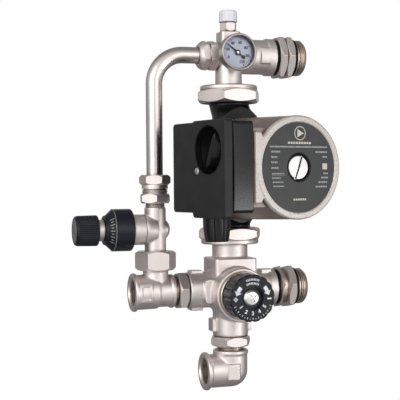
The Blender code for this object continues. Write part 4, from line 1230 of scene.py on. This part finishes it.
# Surroundings: white behind the object, soft bright front and left, dim right and top
def makeWorld():
    world = bpy.data.worlds.new("studio")
    bpy.context.scene.world = world
    world.use_nodes = True
    tree = world.node_tree
    tree.nodes.clear()
    coord = tree.nodes.new("ShaderNodeTexCoord")

    def lobe(direction, start, end, amount):
        dot = tree.nodes.new("ShaderNodeVectorMath")
        dot.operation = "DOT_PRODUCT"
        dot.inputs[1].default_value = Vector(direction).normalized()
        tree.links.new(coord.outputs["Generated"], dot.inputs[0])
        ramp = tree.nodes.new("ShaderNodeMapRange")
        ramp.interpolation_type = "SMOOTHSTEP"
        for key, number in zip(("From Min", "From Max", "To Min", "To Max"),
                               (start, end, 0.0, amount)):
            ramp.inputs[key].default_value = number
        tree.links.new(dot.outputs["Value"], ramp.inputs["Value"])
        return ramp.outputs["Result"]

    lobes = [
        lobe((-0.55, -0.80, 0.05), 0.1, 0.9, 0.66),
        lobe((0.45, -0.85, 0.05), 0.3, 0.95, 0.25),
        lobe((-0.95, 0.25, 0.1), 0.45, 0.97, 0.25),
        lobe((0.31, 0.95, 0.0), 0.75, 0.97, 0.65),
        lobe((0.0, 0.2, 1.0), 0.75, 0.99, 0.10),
    ]
    total = None
    for value in lobes:
        add = tree.nodes.new("ShaderNodeMath")
        add.inputs[1].default_value = 0.18
        tree.links.new(value, add.inputs[0])
        if total:
            tree.links.new(total, add.inputs[1])
        total = add.outputs["Value"]
    seen = tree.nodes.new("ShaderNodeBackground")
    seen.inputs["Strength"].default_value = 1.0
    seen.inputs["Color"].default_value = (1, 1, 1, 1)
    room = tree.nodes.new("ShaderNodeBackground")
    room.inputs["Color"].default_value = (1.0, 0.985, 0.97, 1)
    tree.links.new(total, room.inputs["Strength"])
    path = tree.nodes.new("ShaderNodeLightPath")
    mix = tree.nodes.new("ShaderNodeMixShader")
    tree.links.new(path.outputs["Is Camera Ray"], mix.inputs["Fac"])
    tree.links.new(room.outputs["Background"], mix.inputs[1])
    tree.links.new(seen.outputs["Background"], mix.inputs[2])
    out = tree.nodes.new("ShaderNodeOutputWorld")
    tree.links.new(mix.outputs["Shader"], out.inputs["Surface"])


lamps = {
    "key": {"at": (-1.15, -0.95, 0.42), "size": 1.3, "power": 6.6},
    "fill": {"at": (0.55, -1.35, 0.30), "size": 1.2, "power": 3.2},
    "wall": {"at": (0.655, -0.766, -0.10), "size": 0.22, "power": 1.1},
}


def makeLamps():
    aim = Vector((-0.085, -0.03, 0.08))
    for name, s in lamps.items():
        light = bpy.data.lights.new(name, "AREA")
        light.shape = "DISK"
        light.size = s["size"]
        light.energy = s["power"]
        lamp = bpy.data.objects.new(name, light)
        lamp.location = s["at"]
        lamp.rotation_euler = (aim - Vector(s["at"])).to_track_quat("-Z", "Y").to_euler()
        bpy.context.scene.collection.objects.link(lamp)


cameraSettings = {"at": (-0.401, -0.9096, 0.0997), "heading": 18.28, "pitch": -1.06,
                  "roll": 0.47, "lens": 94.5}


def makeCamera():
    s = cameraSettings
    heading, pitch, roll = (math.radians(s[key]) for key in ("heading", "pitch", "roll"))
    forwards = Vector((math.sin(heading) * math.cos(pitch), math.cos(heading) * math.cos(pitch),
                       math.sin(pitch)))
    right = Vector((math.cos(heading), -math.sin(heading), 0))
    upwards = right.cross(forwards)
    rolledRight = right * math.cos(roll) - upwards * math.sin(roll)
    rolledUp = upwards * math.cos(roll) + right * math.sin(roll)
    camera = bpy.data.objects.new("camera", bpy.data.cameras.new("camera"))
    camera.data.lens = s["lens"]
    camera.data.sensor_width = 36
    place = Matrix((rolledRight, rolledUp, -forwards)).transposed().to_4x4()
    place.translation = s["at"]
    camera.matrix_world = place
    bpy.context.scene.collection.objects.link(camera)
    bpy.context.scene.camera = camera


makeFloor()
makeWorld()
makeLamps()
makeCamera()
bpy.context.scene.view_settings.view_transform = "Standard"
stageDone("stage made")
